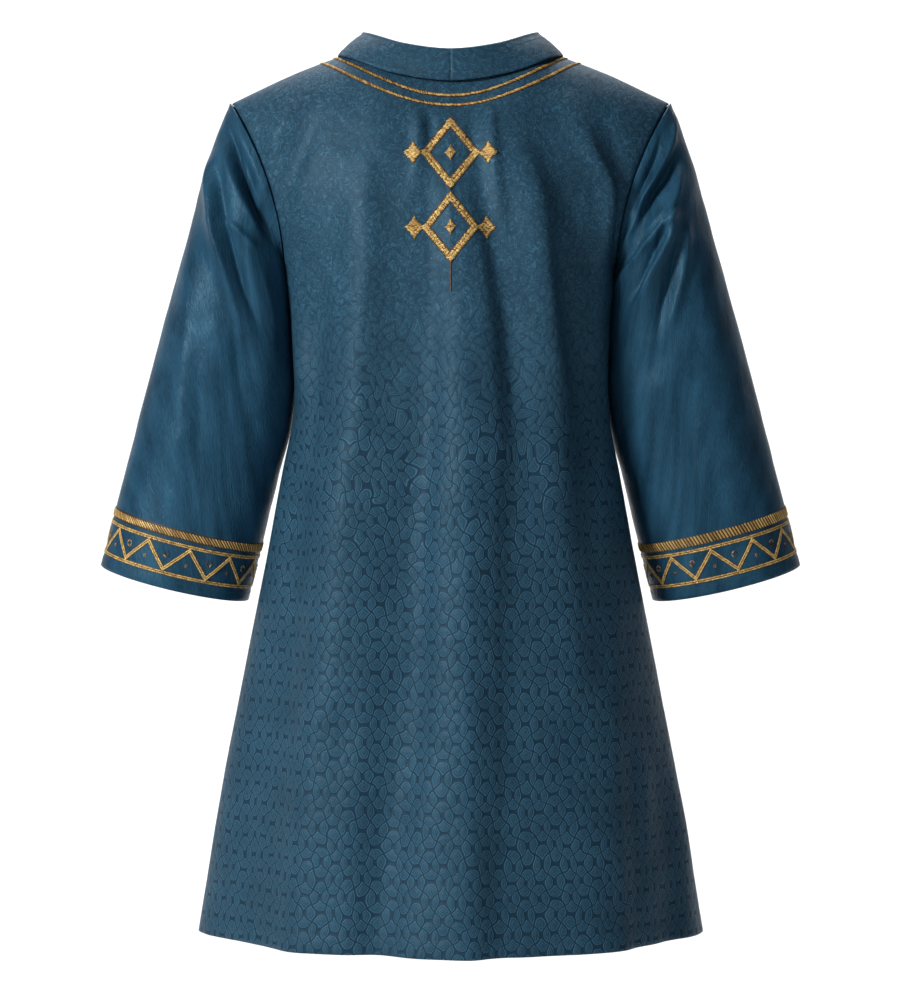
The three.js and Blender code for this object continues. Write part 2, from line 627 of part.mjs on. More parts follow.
function star({ z }) {
  const quarter = [
    [0, STAR.halfHeight],
    [STAR.halfWidth * STAR.waist, STAR.halfHeight * STAR.waist],
    [STAR.halfWidth, 0],
  ];
  return motif(z, fourfold(quarter));
}

// A spot on a sleeve near its cuff, by millimetres from the cuff's edge.
const cuffSpot = (side, round, height) => sleeveSpot(side, round, 1 - height / NEAR_CUFF);

function cuffBand(side, { low, high, crown }) {
  const rounds = steps(GRID.cuff).slice(1);
  const spots = rounds.map((round) => cuffSpot(side, round, (low + high) / 2));
  return strip(side > 0 ? spots : spots.reverse(), high - low, crown, true);
}

function cuffZigzag(side) {
  const { low, high, waves, band, phase } = ZIGZAG;
  const legs = 2 * waves;
  const spread = band / 2 / 0.75; // half the band's height, which is taller than its width on a slope
  const columns = steps(legs * GRID.zigzagLeg).slice(1);
  const grid = [-1, 1].map((edge) =>
    columns.map((share) => {
      const wave = (share * waves + phase) % 1;
      const centre = low + spread + (high - low - 2 * spread) * abs(2 * wave - 1);
      return raised(cuffSpot(side, share, centre + edge * spread), TOP);
    }),
  );
  return gridWall(grid, { closed: true, flip: side < 0, thickness: TRIM });
}

piece("back_panel", gridWall(skins.back, { thickness: CLOTH }), cloth);
piece("front_panel", frontPanel(), cloth);
for (const [side, label] of [[-1, "left"], [1, "right"]]) {
  piece(`sleeve_${label}`, sleeve(side), sleeveCloth);
  piece(`collar_${label}`, collarHalf(side), cloth);
  for (const trim of CUFF_TRIMS) piece(`${trim.name}_${label}`, cuffBand(side, trim), goldThread);
  piece(`cuff_zigzag_${label}`, cuffZigzag(side), goldThread);
}
for (const braid of BRAIDS) piece(braid.name, neckBraid(braid), goldThread);
for (const diamond of DIAMONDS) {
  piece(`diamond_${diamond.name}`, diamondFrame(diamond), goldThread);
  piece(`star_${diamond.name}`, star(diamond), goldThread);
}

export default tunic;
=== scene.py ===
"""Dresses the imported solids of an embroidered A-line tunic: damask body and collar, satin sleeves, gold
stitched braids, diamonds and cuffs, sewing and the stage it is seen on.

Tables are in millimetres in the frame of the solids: +Z up, -Y the back of the garment, +X its right.
"""

import math
import random
from functools import partial

import bmesh
import bpy
import numpy as np
from mathutils import Matrix, Vector, noise
from mathutils.bvhtree import BVHTree


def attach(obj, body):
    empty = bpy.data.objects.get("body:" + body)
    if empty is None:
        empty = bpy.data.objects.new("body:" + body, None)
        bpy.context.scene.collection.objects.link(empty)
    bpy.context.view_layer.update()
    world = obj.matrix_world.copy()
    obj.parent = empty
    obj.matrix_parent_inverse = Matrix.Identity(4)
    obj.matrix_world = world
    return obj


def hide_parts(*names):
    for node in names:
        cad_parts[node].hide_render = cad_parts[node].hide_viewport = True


bl_info = {
    "name": "Embroidered tunic",
    "version": (1, 0, 0),
    "blender": (4, 5, 0),
    "location": "View3D > Sidebar > Tunic",
    "description": "Cloth, embroidery and sewing of a hollow tunic that keeps its worn form",
    "category": "Add Mesh",
}

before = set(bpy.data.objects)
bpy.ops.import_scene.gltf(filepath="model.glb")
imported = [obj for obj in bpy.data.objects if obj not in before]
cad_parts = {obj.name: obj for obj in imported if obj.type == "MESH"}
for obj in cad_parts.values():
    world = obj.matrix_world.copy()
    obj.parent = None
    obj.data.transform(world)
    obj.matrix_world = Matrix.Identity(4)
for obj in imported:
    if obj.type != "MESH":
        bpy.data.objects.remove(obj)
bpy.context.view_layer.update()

MM = 0.001
SIDES = ((-1, "left"), (1, "right"))
ALL_AXES = (0, 1, 2)


def rows(names, text):
    """A short table with named columns, as arrays. Commas divide its rows."""
    values = [[float(value) for value in row.split()] for row in text.split(",")]
    return dict(zip(names.split(), np.array(values).T))


def several(names, text):
    """Several such tables, divided by semicolons."""
    return [rows(names, part) for part in text.split(";")]


# Body and sleeves, as the solids have them
HEM_Z = -834.0
UNDERARM_X, UNDERARM_Z = 157.0, -205.0
SHOULDER_X, SHOULDER_Z = 207.0, -49.0
SHOULDER_ROUNDING = 2.5
ARMHOLE = {"back": (47.0, 0.0), "front": (57.0, 6.0)}  # reach, scoop
ARMHOLE_SLANT = 1.9
BODY = rows("z side back front", """
    -834 239.5 165 160, -720 221 147 146, -600 198.5 131 133, -480 175 118 123, -400 160.5 110 119,
    -340 149.5 104 119, -270 150.5 102 121, -205 157 103 119
""")
HEM_FLATNESS = 1.35
YOKE = {
    "back": rows("z depth", "-205 103, -165 103, -130 99, -95 90, -65 77, -31 58"),
    "front": rows("z depth", "-205 119, -165 112, -125 100, -85 84"),
}
YOKE_ARC = (90.0, 60.0)  # degrees that half a row turns through, at the underarm and at the neck
NECK_HALF = 88.0
NECK_BACK = (58.0, 31.0)  # depth, drop
NECK_FRONT = (84.0, 85.0)
NECK_COLUMN = 0.42
SLIT_HALF, SLIT_BOTTOM = 8.0, -205.0
SEAM_GAP = 0.3

SLEEVE = rows("along outX outZ inX inZ deep forward", """
    0.1 222 -70 158.8 -212 54 1, 0.22 233 -111 155.5 -232 58 4, 0.36 249 -171 153 -265 61 9,
    0.52 270.5 -246 151 -318 62 15, 0.68 292.5 -325 158.5 -374 61 21, 0.84 314 -406 174.5 -443 60 27,
    1 335.5 -487 194.5 -521 60 33
""")
CAP_BLEND, CAP_PUFF, CUFF_TILT = 0.3, 1.5, 6.0
NEAR_CUFF = 508.0

COLLAR = rows("turn foldX foldY foldZ edgeX edgeY edgeZ", """
    -30 -41 -54.5 -0.5 -52 -61.8 -29.5, 0 0 -62.5 -6.5 0 -65.5 -37, 30 41 -54.5 -0.5 52 -61.8 -29.5,
    60 71.5 -31.5 11.5 88.5 -48.5 -15, 75 79.5 -15 16 102.5 -27.5 -8, 90 82.5 2 18 107 1 -4,
    105 79.5 22 10 103.5 26.8 -9, 120 71 41 -5 93.2 49.8 -23, 135 58 58 -26 75.5 69 -42,
    150 41.5 71.5 -48 53 83.2 -69, 165 23 80.5 -64 29.5 91 -90, 178 10.5 84 -70 15.5 93 -96.5
""")
COLLAR_FOLD, COLLAR_BOW, COLLAR_LIFT = 2.6, 1.3, 1.8
COLLAR_WALL = 1.4
COLLAR_GRID = (90, 16)  # faces along half a collar, and down its fall

SLEEVE_LEAN = 3.2  # how far each sleeve leans on the body under the arm
RIDGE_HEIGHT, RIDGE_BOTTOM = 1.2, -238  # the stitched crease down the centre back
TURN_UP_RISE, CUFF_RISE, STITCH_DIP = 0.5, 0.45, 0.6  # where cloth lies double, and where stitches hold it
# Lengths measured along the cloth, for what lies at a distance from a seam
PANEL_REACH, YOKE_LENGTH, SLEEVE_LENGTH = 230, 190, 454
SEAM_PULL, SEAM_WIDTH = 0.8, 3.2  # how deep the seams pull the cloth in, and over what width
TUCK, ALLOWANCE = 1.7, 3.0  # how deep a seam allowance lies under its neighbour, and how far it reaches
CLEAR_OF_SIDE = 0.1  # from each panel to the plane of the side seams

# Largest folds, as the solids have them: from a to b, left and right widths, height at each end
FOLD = "ax az bx bz left right atA atB"
FOLDS = {
    "back": rows(FOLD, """
    -75 -100 -145 -834 30 26 1.5 8, -48 -330 -70 -834 24 24 -2 -6, 8 -245 16 -834 42 17 3 9,
    50 -330 62 -834 22 26 -2.5 -6, 66 -110 112 -560 24 18 2 5, 122 -230 112 -400 16 20 -4.5 -2,
    146 -560 154 -834 30 12 2 7, -172 -85 -158 -225 7 15 2 4, 172 -85 158 -225 15 7 2 4
    """),
    "front": rows(FOLD, """
    -60 -260 -118 -834 26 30 1.5 8, -12 -330 -30 -834 30 26 -1.5 -7, 30 -280 44 -834 26 28 1.5 8,
    78 -330 106 -834 24 24 -2 -6, 118 -300 170 -834 22 20 1.5 6, -120 -380 -178 -834 20 20 -1 -4
    """),
    "sleeve": rows(FOLD, """
    222 -72 168 -190 9 12 -4 -5, 232 -112 176 -240 12 10 3 4, 240 -150 190 -300 11 13 -3.5 -4,
    245 -200 262 -430 16 16 2.5 3, 212 -330 226 -450 15 15 -2.5 -2
    """),
}

# Small creases that only the cloth has, each followed down its length
CREASE = "x z left right height"
CREASES = {
    "back": several(CREASE, """
    -84 -90 24 16 0, -78 -141 24 15 4.5, -75 -207 24 14 6.7, -82 -274 24 15 7.3, -86 -350 24 17 7.3,
    -98 -426 26 20 7.3, -104 -502 27 22 6.7, -112 -578 28 24 5.6, -124 -654 30 26 4.5,
    -132 -730 30 26 3.4, -140 -836 30 26 1.7;
    -26 -110 26 12 0, -25 -141 28 13 -3.4, -19 -207 30 13 -6.7, -21 -274 30 14 -9.5, -21 -350 30 14 -11.2,
    -27 -426 30 14 -11.8, -30 -502 30 15 -11.8, -32 -578 30 16 -11.2, -38 -654 30 18 -10.1,
    -51 -730 28 20 -8.4, -64 -836 28 22 -5.6;
    -66 -330 16 16 0, -70 -426 18 16 1.7, -74 -502 18 16 2.8, -76 -578 18 16 3.4, -80 -654 18 16 3.4,
    -86 -740 18 16 2.8, -92 -836 18 16 2.2;
    20 -150 26 10 0, 28 -207 28 9 5.6, 34 -274 34 13 7.3, 37 -350 36 16 9, 36 -426 36 18 9.5,
    34 -502 36 18 9, 33 -578 36 17 8.4, 33 -654 36 17 7.3, 31 -730 36 18 5.6, 26 -836 34 18 2.8;
    26 -100 10 10 0, 29 -141 11 11 -3.4, 40 -207 12 14 -5, 52 -274 13 15 -4.5, 62 -350 14 16 -2.8,
    70 -426 15 18 0;
    60 -440 20 24 0, 62 -502 20 26 2.7, 62 -600 20 26 4.5, 64 -836 20 26 6.7;
    58 -80 20 12 0, 76 -141 22 15 8.4, 85 -207 19 9 12.3, 93 -274 20 9 11.2, 103 -350 24 12 6.7,
    108 -426 26 15 2.9, 110 -502 28 18 0;
    98 -100 12 12 0, 112 -150 14 11 -2.2, 107 -207 12 12 -6.2, 118 -274 13 12 -7.3, 127 -350 13 11 -5.6,
    132 -426 14 12 -2.8, 134 -500 14 12 0;
    108 -46 14 10 0, 128 -100 13 9 5.6, 148 -141 10 7 9, 141 -207 9 8 5, 140 -274 8 8 3.8,
    143 -350 8 8 3.4, 146 -440 9 9 0;
    118 -560 26 26 0, 122 -660 26 26 2.8, 124 -836 26 26 4.5;
    -138 -300 14 20 0, -146 -370 16 20 -4.5, -148 -426 18 20 -7, -150 -502 22 20 -9, -154 -578 26 22 -9.5,
    -160 -680 32 24 -9.5, -166 -780 36 26 -8.5, -170 -836 36 26 -7.5;
    -32 -56 5 6 0, -30 -80 5 6 4.3, -30 -118 6 8 2, -32 -150 8 10 0;
    36 -56 6 5 0, 37 -82 6 5 4.7, 42 -140 8 6 3.6, 50 -200 10 8 0;
    -20 -62 4 5 0, -19 -84 4 5 -3.4, -19 -120 5 6 0;
    20 -62 5 4 0, 20 -86 5 4 -3.4, 22 -128 6 5 0;
    -142 -52 12 9 0, -158 -84 12 9 6.2, -170 -112 10 8 0;
    -118 -52 10 14 0, -137 -92 12 14 -4.5, -158 -140 9 12 -6.2, -160 -190 8 10 0;
    140 -56 9 9 0, 156 -108 9 9 -4.5, 158 -170 8 9 -6.7, 154 -222 8 8 0;
    -120 -210 10 10 0, -124 -290 10 10 -4.7, -132 -380 12 12 -3.4, -150 -520 14 14 0;
    -146 -230 7 7 0, -139 -290 7 7 6.2, -136 -345 8 8 3.4, -140 -420 9 9 0;
    -180 -560 14 14 0, -190 -690 16 16 -3.1, -205 -834 18 18 -5;
    186 -520 12 12 0, 198 -650 13 13 -2.8, 208 -834 16 16 -4.3;
    214 -640 10 10 0, 219 -730 10 10 2.5, 226 -834 12 12 3.4
    """),
    "front": several(CREASE, """
    -60 -110 8 8 0, -66 -170 9 9 4, -74 -250 11 11 4.5, -86 -360 13 13 0;
    64 -110 8 8 0, 72 -190 9 9 4.2, 84 -280 11 11 3.8, 96 -400 13 13 0;
    -100 -180 10 10 0, -112 -260 10 10 -6, -122 -340 11 11 -5.5, -130 -430 12 12 0;
    98 -170 10 10 0, 108 -240 10 10 -5.5, 120 -330 11 11 -6, 128 -430 12 12 0;
    -150 -60 12 9 0, -160 -100 11 9 4.5, -164 -160 9 9 0;
    148 -60 9 12 0, 158 -104 9 11 4.8, 163 -170 9 9 0;
    24 -230 8 8 0, 26 -320 10 10 -3.8, 34 -440 12 12 0;
    -30 -240 8 8 0, -34 -330 10 10 3.5, -42 -460 12 12 0;
    -190 -580 14 14 0, -202 -700 15 15 5, -214 -834 16 16 7.5;
    196 -560 14 14 0, 206 -700 15 15 -5, 216 -834 16 16 -7.5;
    74 -600 14 14 0, 80 -720 15 15 -4, 84 -834 16 16 -6.5;
    -78 -620 14 14 0, -86 -730 15 15 -4.5, -92 -834 16 16 -7
    """),
    "sleeve_left": several(CREASE, """
    212 -62 7 5 0, 209 -80 6.3 3.6 -8.7, 204 -98 6.3 3.6 -13, 199 -114 6.3 3.6 -14.2,
    189 -137 6.3 3.6 -14.2, 177 -159 7.2 4.5 -13, 165 -180 7.2 5.4 -6.5, 156 -200 8 7 0;
    220 -68 4 12 0, 215 -92 3.6 10.8 6, 207 -114 3.6 10.8 7, 197 -137 3.6 10.8 7, 186 -160 4.5 10.8 7,
    172 -186 6 12 0;
    199 -92 4 4 0, 192 -110 3.6 3.6 -4.7, 184 -128 3.6 3.6 -5.2, 174 -150 5 5 0;
    228 -96 5 9 0, 226 -118 3.6 9 8.3, 222 -150 3.6 9.9 10.1, 220 -170 3.6 10.8 10.6,
    213 -202 4.5 10.8 9.2, 205 -234 5.4 10.8 6, 196 -262 8 12 0;
    221 -106 7 5 0, 218 -124 6.3 3.6 -8.3, 213 -155 7.2 3.6 -10.6, 205 -190 8.1 4.5 -11.6,
    194 -224 9 5.4 -9.2, 182 -254 9 7.2 -4.6, 174 -282 10 8 0;
    214 -160 5 9 0, 205 -168 3.6 7.2 4.8, 194 -178 3.6 7.2 5.3, 180 -192 5 8 0;
    176 -210 6 6 0, 170 -236 6 6 2.6, 166 -268 7 7 2.4, 166 -310 8 8 0;
    250 -170 9 9 0, 247 -250 10 10 2.6, 252 -340 11 11 2.4, 262 -430 12 12 0;
    205 -270 8 8 0, 196 -320 8 8 -3.4, 186 -370 9 9 0;
    238 -260 9 7 0, 236 -330 9 7 -2, 240 -400 10 8 -1.4, 246 -450 10 8 0;
    280 -300 8 8 0, 288 -360 9 9 -2, 298 -430 10 10 0;
    216 -400 9 9 0, 222 -450 10 10 2.2, 228 -500 10 10 1.4
    """),
    "sleeve_right": several(CREASE, """
    212 -60 5 6 0, 210 -76 3.1 5.4 7, 206 -96 3.1 5.4 8.1, 198 -112 3.1 5.4 8.1, 189 -128 3.6 5.4 8.1,
    179 -146 3.6 5.4 8.1, 174 -161 3.6 5.4 7.3, 164 -184 4.5 5.4 6.1, 158 -204 6 6 0;
    198 -78 5 5 0, 194 -100 4.5 3.6 -5.7, 186 -118 4.5 3.6 -7.6, 177 -136 4.5 3.6 -6.8, 168 -160 6 5 0;
    214 -90 5 6 0, 207 -114 3.6 5.4 -8.4, 197 -130 3.6 5.4 -11.4, 188 -140 3.6 5.4 -13.3,
    178 -158 4.5 6.3 -9.4, 166 -186 6 8 0;
    214 -104 4 6 0, 212 -124 3.1 5.4 7, 205 -147 3.1 6.3 8.5, 193 -162 3.6 6.3 7.3, 180 -178 5 7 0;
    210 -150 4 5 0, 204 -160 3.1 4.5 6.8, 195 -170 3.1 4.5 8.4, 182 -187 3.6 4.5 8.4,
    170 -203 3.6 4.5 7.6, 157 -222 4.5 5.4 4.6, 152 -236 5 6 0;
    200 -168 4 4 0, 196 -182 3.6 3.6 -7.3, 186 -202 4.5 3.6 -9, 176 -224 5.4 4.5 -8.1, 166 -250 7 7 0;
    208 -154 5 7 0, 204 -164 3.6 7.2 6.1, 201 -182 3.1 7.2 8.4, 190 -206 3.1 7.2 8.4,
    179 -232 3.6 7.2 6.8, 171 -252 4.5 8.1 4.6, 164 -280 7 9 0;
    222 -160 6 8 0, 220 -186 4.5 8.1 6.5, 216 -217 4.5 9 7.6, 207 -252 5.4 9 5.7, 198 -290 8 10 0;
    212 -176 6 5 0, 208 -210 5.4 4.5 -7, 198 -244 6.3 5.4 -6.1, 190 -276 8 7 0;
    232 -124 3 3 0, 233 -200 3 3 0.9, 236 -290 4 4 0;
    268 -250 10 10 0, 274 -330 11 11 2.4, 284 -430 12 12 0;
    186 -300 8 8 0, 184 -350 9 9 3, 190 -410 10 10 0;
    224 -290 9 9 0, 224 -350 10 10 -2.6, 232 -420 10 10 0;
    244 -360 10 10 0, 250 -420 11 11 -2.2, 258 -500 12 12 -1
    """),
}

HEM_TURN_UP = 18.0  # from the hem's edge to its line of stitches
CUFF_TURN_UP = 8.0

# Embroidery
BRAIDS = (
    ("inner", 4.0, 109.5, -51.3, -8.0, 94.0),
    ("outer", 3.6, 122.0, -61.0, -13.0, 103.0),
)  # width, half, lowest, highest, front reach
BRAID_END = 175.4
DIAMONDS = (
    ("upper", -107.2, 27.2, 34.3, 34.5),
    ("lower", -176.2, 26.2, 32.8, 33.0),
)  # middle, half width, half height, ear's middle
DIAMOND_OPENING = 0.7
EAR_HALF_WIDTH, EAR_HALF_HEIGHT, EAR_HOLLOW = 8.6, 10.5, 0.78
STAR_HALF_WIDTH, STAR_HALF_HEIGHT, STAR_WAIST = 5.6, 6.8, 0.46
ROPE = (47.0, 57.0)
ROPE_LEAN = 0.65
CUFF_STEPS = 220  # round a cuff
CUFF_LINES = (("upper", 41.4, 44.4), ("lower", 12.8, 15.8))
ZIGZAG_LOW, ZIGZAG_HIGH, ZIGZAG_WAVES, ZIGZAG_BAND, ZIGZAG_PHASE = 16.4, 40.8, 11, 4.3, 0.5
# The lozenge after a falling leg and the one after a rising leg: size, thickness, height over the cuff's edge
LOZENGES = ((1.5, 1.25, 31.6), (0.7, 0.9, 25.2))
LOZENGE_STRETCH = 1.2


# ---- The form of the cloth ---------------------------------------------------------------------------


def read(table, by, column, value):
    """A smooth curve through one column of a table."""
    x, y = table[by], table[column]
    if x[0] > x[-1]:
        x, y = x[::-1], y[::-1]
    at = np.arange(len(x))
    low, high = np.maximum(at - 1, 0), np.minimum(at + 1, len(x) - 1)
    slope = (y[high] - y[low]) / (x[high] - x[low])
    i = np.clip(np.searchsorted(x, value) - 1, 0, len(x) - 2)
    step = x[i + 1] - x[i]
    t = np.clip((value - x[i]) / step, 0, 1)
    return (
        (2 * t**3 - 3 * t**2 + 1) * y[i]
        + (t**3 - 2 * t**2 + t) * step * slope[i]
        + (3 * t**2 - 2 * t**3) * y[i + 1]
        + (t**3 - t**2) * step * slope[i + 1]
    )


def smooth(value):
    """From 0 to 1 with a soft start and end."""
    t = np.clip(value, 0, 1)
    return t * t * (3 - 2 * t)


def point(x, y, z):
    """Three arrays as one array of points."""
    return np.stack(np.broadcast_arrays(x, y, z), -1).astype(float)


def unit(vectors):
    """The same directions, each with length 1."""
    return vectors / np.maximum(1e-9, np.linalg.norm(vectors, axis=-1, keepdims=True))


def fold_height(folds, x, z):
    """How far the largest folds lift the cloth at a point seen square on."""
    height = np.zeros(np.broadcast(x, z).shape)
    for ax, az, bx, bz, left, right, at_a, at_b in zip(*(folds[name] for name in FOLD.split())):
        dx, dz = bx - ax, bz - az
        long = math.hypot(dx, dz)
        along = ((x - ax) * dx + (z - az) * dz) / long
        aside = ((x - ax) * dz - (z - az) * dx) / long
        width = np.where(aside > 0, left, right)
        past = np.maximum(0, np.maximum(-along, along - long)) / (left + right)
        depth = at_a + (at_b - at_a) * np.clip(along / long, 0, 1)
        height += depth * np.exp(-((aside / width) ** 2) - past**2)
    return height


def crease_height(creases, x, z, roundness=2.0):
    """How far the small creases lift the cloth at a point seen square on. Less roundness gives sharper
    crests."""
    height = np.zeros(np.broadcast(x, z).shape)
    for crease in creases:
        aside = x - read(crease, "z", "x", z)
        width = np.where(aside < 0, read(crease, "z", "left", z), read(crease, "z", "right", z))
        inside = (z <= crease["z"][0]) & (z >= crease["z"][-1])
        profile = np.exp(-(abs(aside / width) ** roundness))
        height += np.where(inside, read(crease, "z", "height", z), 0) * profile
    return height


def neckline(turn):
    """The neckline, by degrees from the centre back."""
    s, c = np.sin(np.radians(turn)), np.cos(np.radians(turn))
    back = c >= 0
    depth = np.where(back, NECK_BACK[0], NECK_FRONT[0])
    drop = np.where(back, NECK_BACK[1], NECK_FRONT[1])
    slit = np.where(back, 0, SLIT_HALF * (1 - abs(s)) * np.where(s < 0, -1, 1))
    return point(NECK_HALF * s + slit, -depth * c, -drop * c * c)


def armhole_edge(face, share):
    """The armhole's edge: 0 is the underarm and 1 the shoulder."""
    reach, scoop = ARMHOLE[face]
    bulge, up = np.sin(math.pi * share), (1 - np.cos(math.pi * share)) / 2
    return point(
        UNDERARM_X + (SHOULDER_X - UNDERARM_X) * up**ARMHOLE_SLANT - scoop * bulge * bulge,
        (-1 if face == "back" else 1) * reach * bulge,
        UNDERARM_Z + (SHOULDER_Z - UNDERARM_Z) * up,
    )


def top_edge(face, across):
    """The top edge of a panel: the neckline, then the shoulder seam out to the sleeve."""
    turn = 90 * np.minimum(1, across / NECK_COLUMN)
    neck = neckline(turn if face == "back" else 180 - turn)
    out = (across - NECK_COLUMN) / (1 - NECK_COLUMN)
    seam = point(
        NECK_HALF + (SHOULDER_X - NECK_HALF) * out,
        0,
        SHOULDER_Z * out + SHOULDER_ROUNDING * np.sin(math.pi * out),
    )
    edge = np.where((across > NECK_COLUMN)[..., None], seam, neck)
    edge[..., 0] = abs(edge[..., 0])
    return edge


def yoke_row(face, across, share):
    """One row of a panel's yoke, from the centre line to the armhole's edge."""
    outward = -1 if face == "back" else 1
    table = YOKE[face]
    centre_z = UNDERARM_Z + (table["z"][-1] - UNDERARM_Z) * share
    centre_y = outward * read(table, "z", "depth", centre_z)
    edge = armhole_edge(face, share)
    arc = np.radians(YOKE_ARC[0] + (YOKE_ARC[1] - YOKE_ARC[0]) * smooth(share / 0.45))
    bend = (1 - np.cos(arc * across)) / (1 - np.cos(arc))
    return point(
        edge[..., 0] * np.sin(arc * across) / np.sin(arc),
        centre_y + (edge[..., 1] - centre_y) * bend,
        centre_z + (edge[..., 2] - centre_z) * bend,
    )


LIFT_TAPS = ((-0.3, 0.12), (-0.15, 0.22), (0.0, 0.32), (0.15, 0.22), (0.3, 0.12))


def plain_panel(face, across, up):
    """A panel before its folds. up runs from 0 at the hem to 1 at the underarm and 2 at the neckline."""
    outward = -1 if face == "back" else 1
    low = np.minimum(up, 1)
    z = HEM_Z + (UNDERARM_Z - HEM_Z) * low
    turn = math.pi / 2 * across
    flatness = 1 + (HEM_FLATNESS - 1) * (1 - low) ** 1.5
    depth = read(BODY, "z", face, z) * np.maximum(0, np.cos(turn)) ** flatness
    skirt = point(read(BODY, "z", "side", z) * np.sin(turn), outward * depth, z)
    rise = np.clip(up - 1, 0, 1)
    lift = 0
    for shift, share in LIFT_TAPS:
        near = abs(across + shift * (1 - rise) * (1 - across * across))
        lift = lift + share * (top_edge(face, near) - yoke_row(face, near, np.ones_like(near)))
    yoke = yoke_row(face, across, rise)
    shoulder = smooth(across / NECK_COLUMN) * (1 - across**6)
    pulled = shoulder * (yoke_row(face, across, np.ones_like(across))[..., 2] - yoke[..., 2])
    early = 1 - (1 - rise**4) ** 1.8
    yoke[..., 2] += early * (lift[..., 2] + pulled)
    yoke[..., 0] += rise**4 * lift[..., 0]
    yoke[..., 1] += rise**4 * lift[..., 1]
    return np.where((up > 1)[..., None], yoke, skirt)


def slit_half(z):
    """Half the width of the neck slit at a height."""
    return SLIT_HALF * np.clip((z - SLIT_BOTTOM) / (YOKE["front"]["z"][-1] - SLIT_BOTTOM), 0, 1)


def ripple(points, scale, seed):
    """Soft uneven waves of the cloth, from -1 to 1, for points in millimetres."""
    flat = points.reshape(-1, 3) / scale + seed
    return np.array([noise.noise(Vector(p)) for p in flat]).reshape(points.shape[:-1])


def panel(face, across, up):
    """The panel as it hangs, for arrays of across from -1 to 1 and up from 0 to 2."""
    half = np.where(across < 0, -1.0, 1.0)
    share = np.minimum(1, abs(across))
    made = plain_panel(face, share, up)
    made[..., 0] *= half
    side, depth = BODY["side"][-1], BODY[face][-1]
    outward = unit(point(made[..., 0] / side**2, made[..., 1] / depth**2, 0))
    rise = np.clip(up - 1, 0, 1)
    hold = np.cos(math.pi / 2 * share**2) * (1 - rise**5)
    height = fold_height(FOLDS[face], made[..., 0], made[..., 2]) * hold
    near_edge = (1 - share**10) * (1 - rise**8)
    height += crease_height(CREASES[face], made[..., 0], made[..., 2]) * near_edge
    height += near_edge * (1.7 * ripple(made * (1, 1, 0.6), 34, 3.1) + 0.5 * ripple(made, 13, 8.7))
    turn_up = smooth((HEM_Z + HEM_TURN_UP + 1.5 - made[..., 2]) / 3)
    height += TURN_UP_RISE * turn_up * near_edge
    stitched = np.exp(-(((made[..., 2] - HEM_Z - HEM_TURN_UP) / 1.6) ** 2))
    height -= STITCH_DIP * stitched * near_edge
    if face == "back":
        ridge = np.exp(-((made[..., 0] / 1.6) ** 2)) * smooth((made[..., 2] - RIDGE_BOTTOM) / 8)
        height += RIDGE_HEIGHT * ridge * (1 - rise**12)
    made += outward * height[..., None]
    # The seam allowances pull the cloth in a little beside the side, armhole and shoulder seams.
    free = 1 - (share * rise) ** 8
    seam = SEAM_PULL * free * np.exp(-(((1 - share) * PANEL_REACH / SEAM_WIDTH) ** 2))
    from_shoulder = (1 - rise) * YOKE_LENGTH / SEAM_WIDTH
    at_shoulder = smooth((share - NECK_COLUMN) / 0.05) * np.exp(-(from_shoulder**2))
    normals = faced(made, flip=face == "front")
    made -= normals * np.maximum(seam, SEAM_PULL * free * at_shoulder)[..., None]
    if face == "front":
        neck_share = np.minimum(1, share / NECK_COLUMN)
        made[..., 0] += half * slit_half(made[..., 2]) * (1 - neck_share) * (1 - rise**4)
    return made


def sleeve(round_, along):
    """A sleeve before its folds, for arrays of round from the underarm over the back, and along from armhole
    to cuff, with how squarely each point faces the front or the back."""
    s, c = np.sin(2 * math.pi * round_), np.cos(2 * math.pi * round_)
    low = np.maximum(SLEEVE["along"][0], along)
    value = {name: read(SLEEVE, "along", name, low) for name in SLEEVE if name != "along"}
    x = (value["outX"] + value["inX"]) / 2 - c * (value["outX"] - value["inX"]) / 2
    z = (value["outZ"] + value["inZ"]) / 2 - c * (value["outZ"] - value["inZ"]) / 2
    y = value["forward"] - s * value["deep"]
    z = z - CUFF_TILT * s * smooth(along / 0.8)
    made = point(x, y, z)
    turn = 1 - abs(2 * (round_ - np.floor(round_)) - 1)
    edge = np.where((s >= 0)[..., None], armhole_edge("back", turn), armhole_edge("front", turn))
    edge[..., 0] += SEAM_GAP + 0.1 + 0.4 * abs(s)
    started = np.clip(along / SLEEVE["along"][0], 0, 1)
    blend = (1 - started + started * (1 - smooth(along / CAP_BLEND)))[..., None]
    made = made * (1 - blend) + edge * blend
    made[..., 0] += np.where(started < 1, CAP_PUFF * np.sin(math.pi * started) * np.maximum(0, -c), 0)
    # Under the arm the sleeve leans on the body.
    leaning = smooth((along - 0.04) / 0.1) * (1 - smooth((along - 0.62) / 0.14))
    made[..., 0] -= SLEEVE_LEAN * leaning * np.maximum(0, c) ** 3
    return made, abs(s)


def faced(points, closed=False, flip=False):
    """The way that a grid of points faces, averaged over the faces round each point."""
    if closed:
        before = np.roll(points[:, :-1], 1, 1)
        after = np.roll(points[:, :-1], -1, 1)
        across = after - before
        across = np.concatenate([across, across[:, :1]], 1)
    else:
        across = np.gradient(points, axis=1)
    up = np.gradient(points, axis=0)
    return unit(np.cross(across, up)) * (-1 if flip else 1)


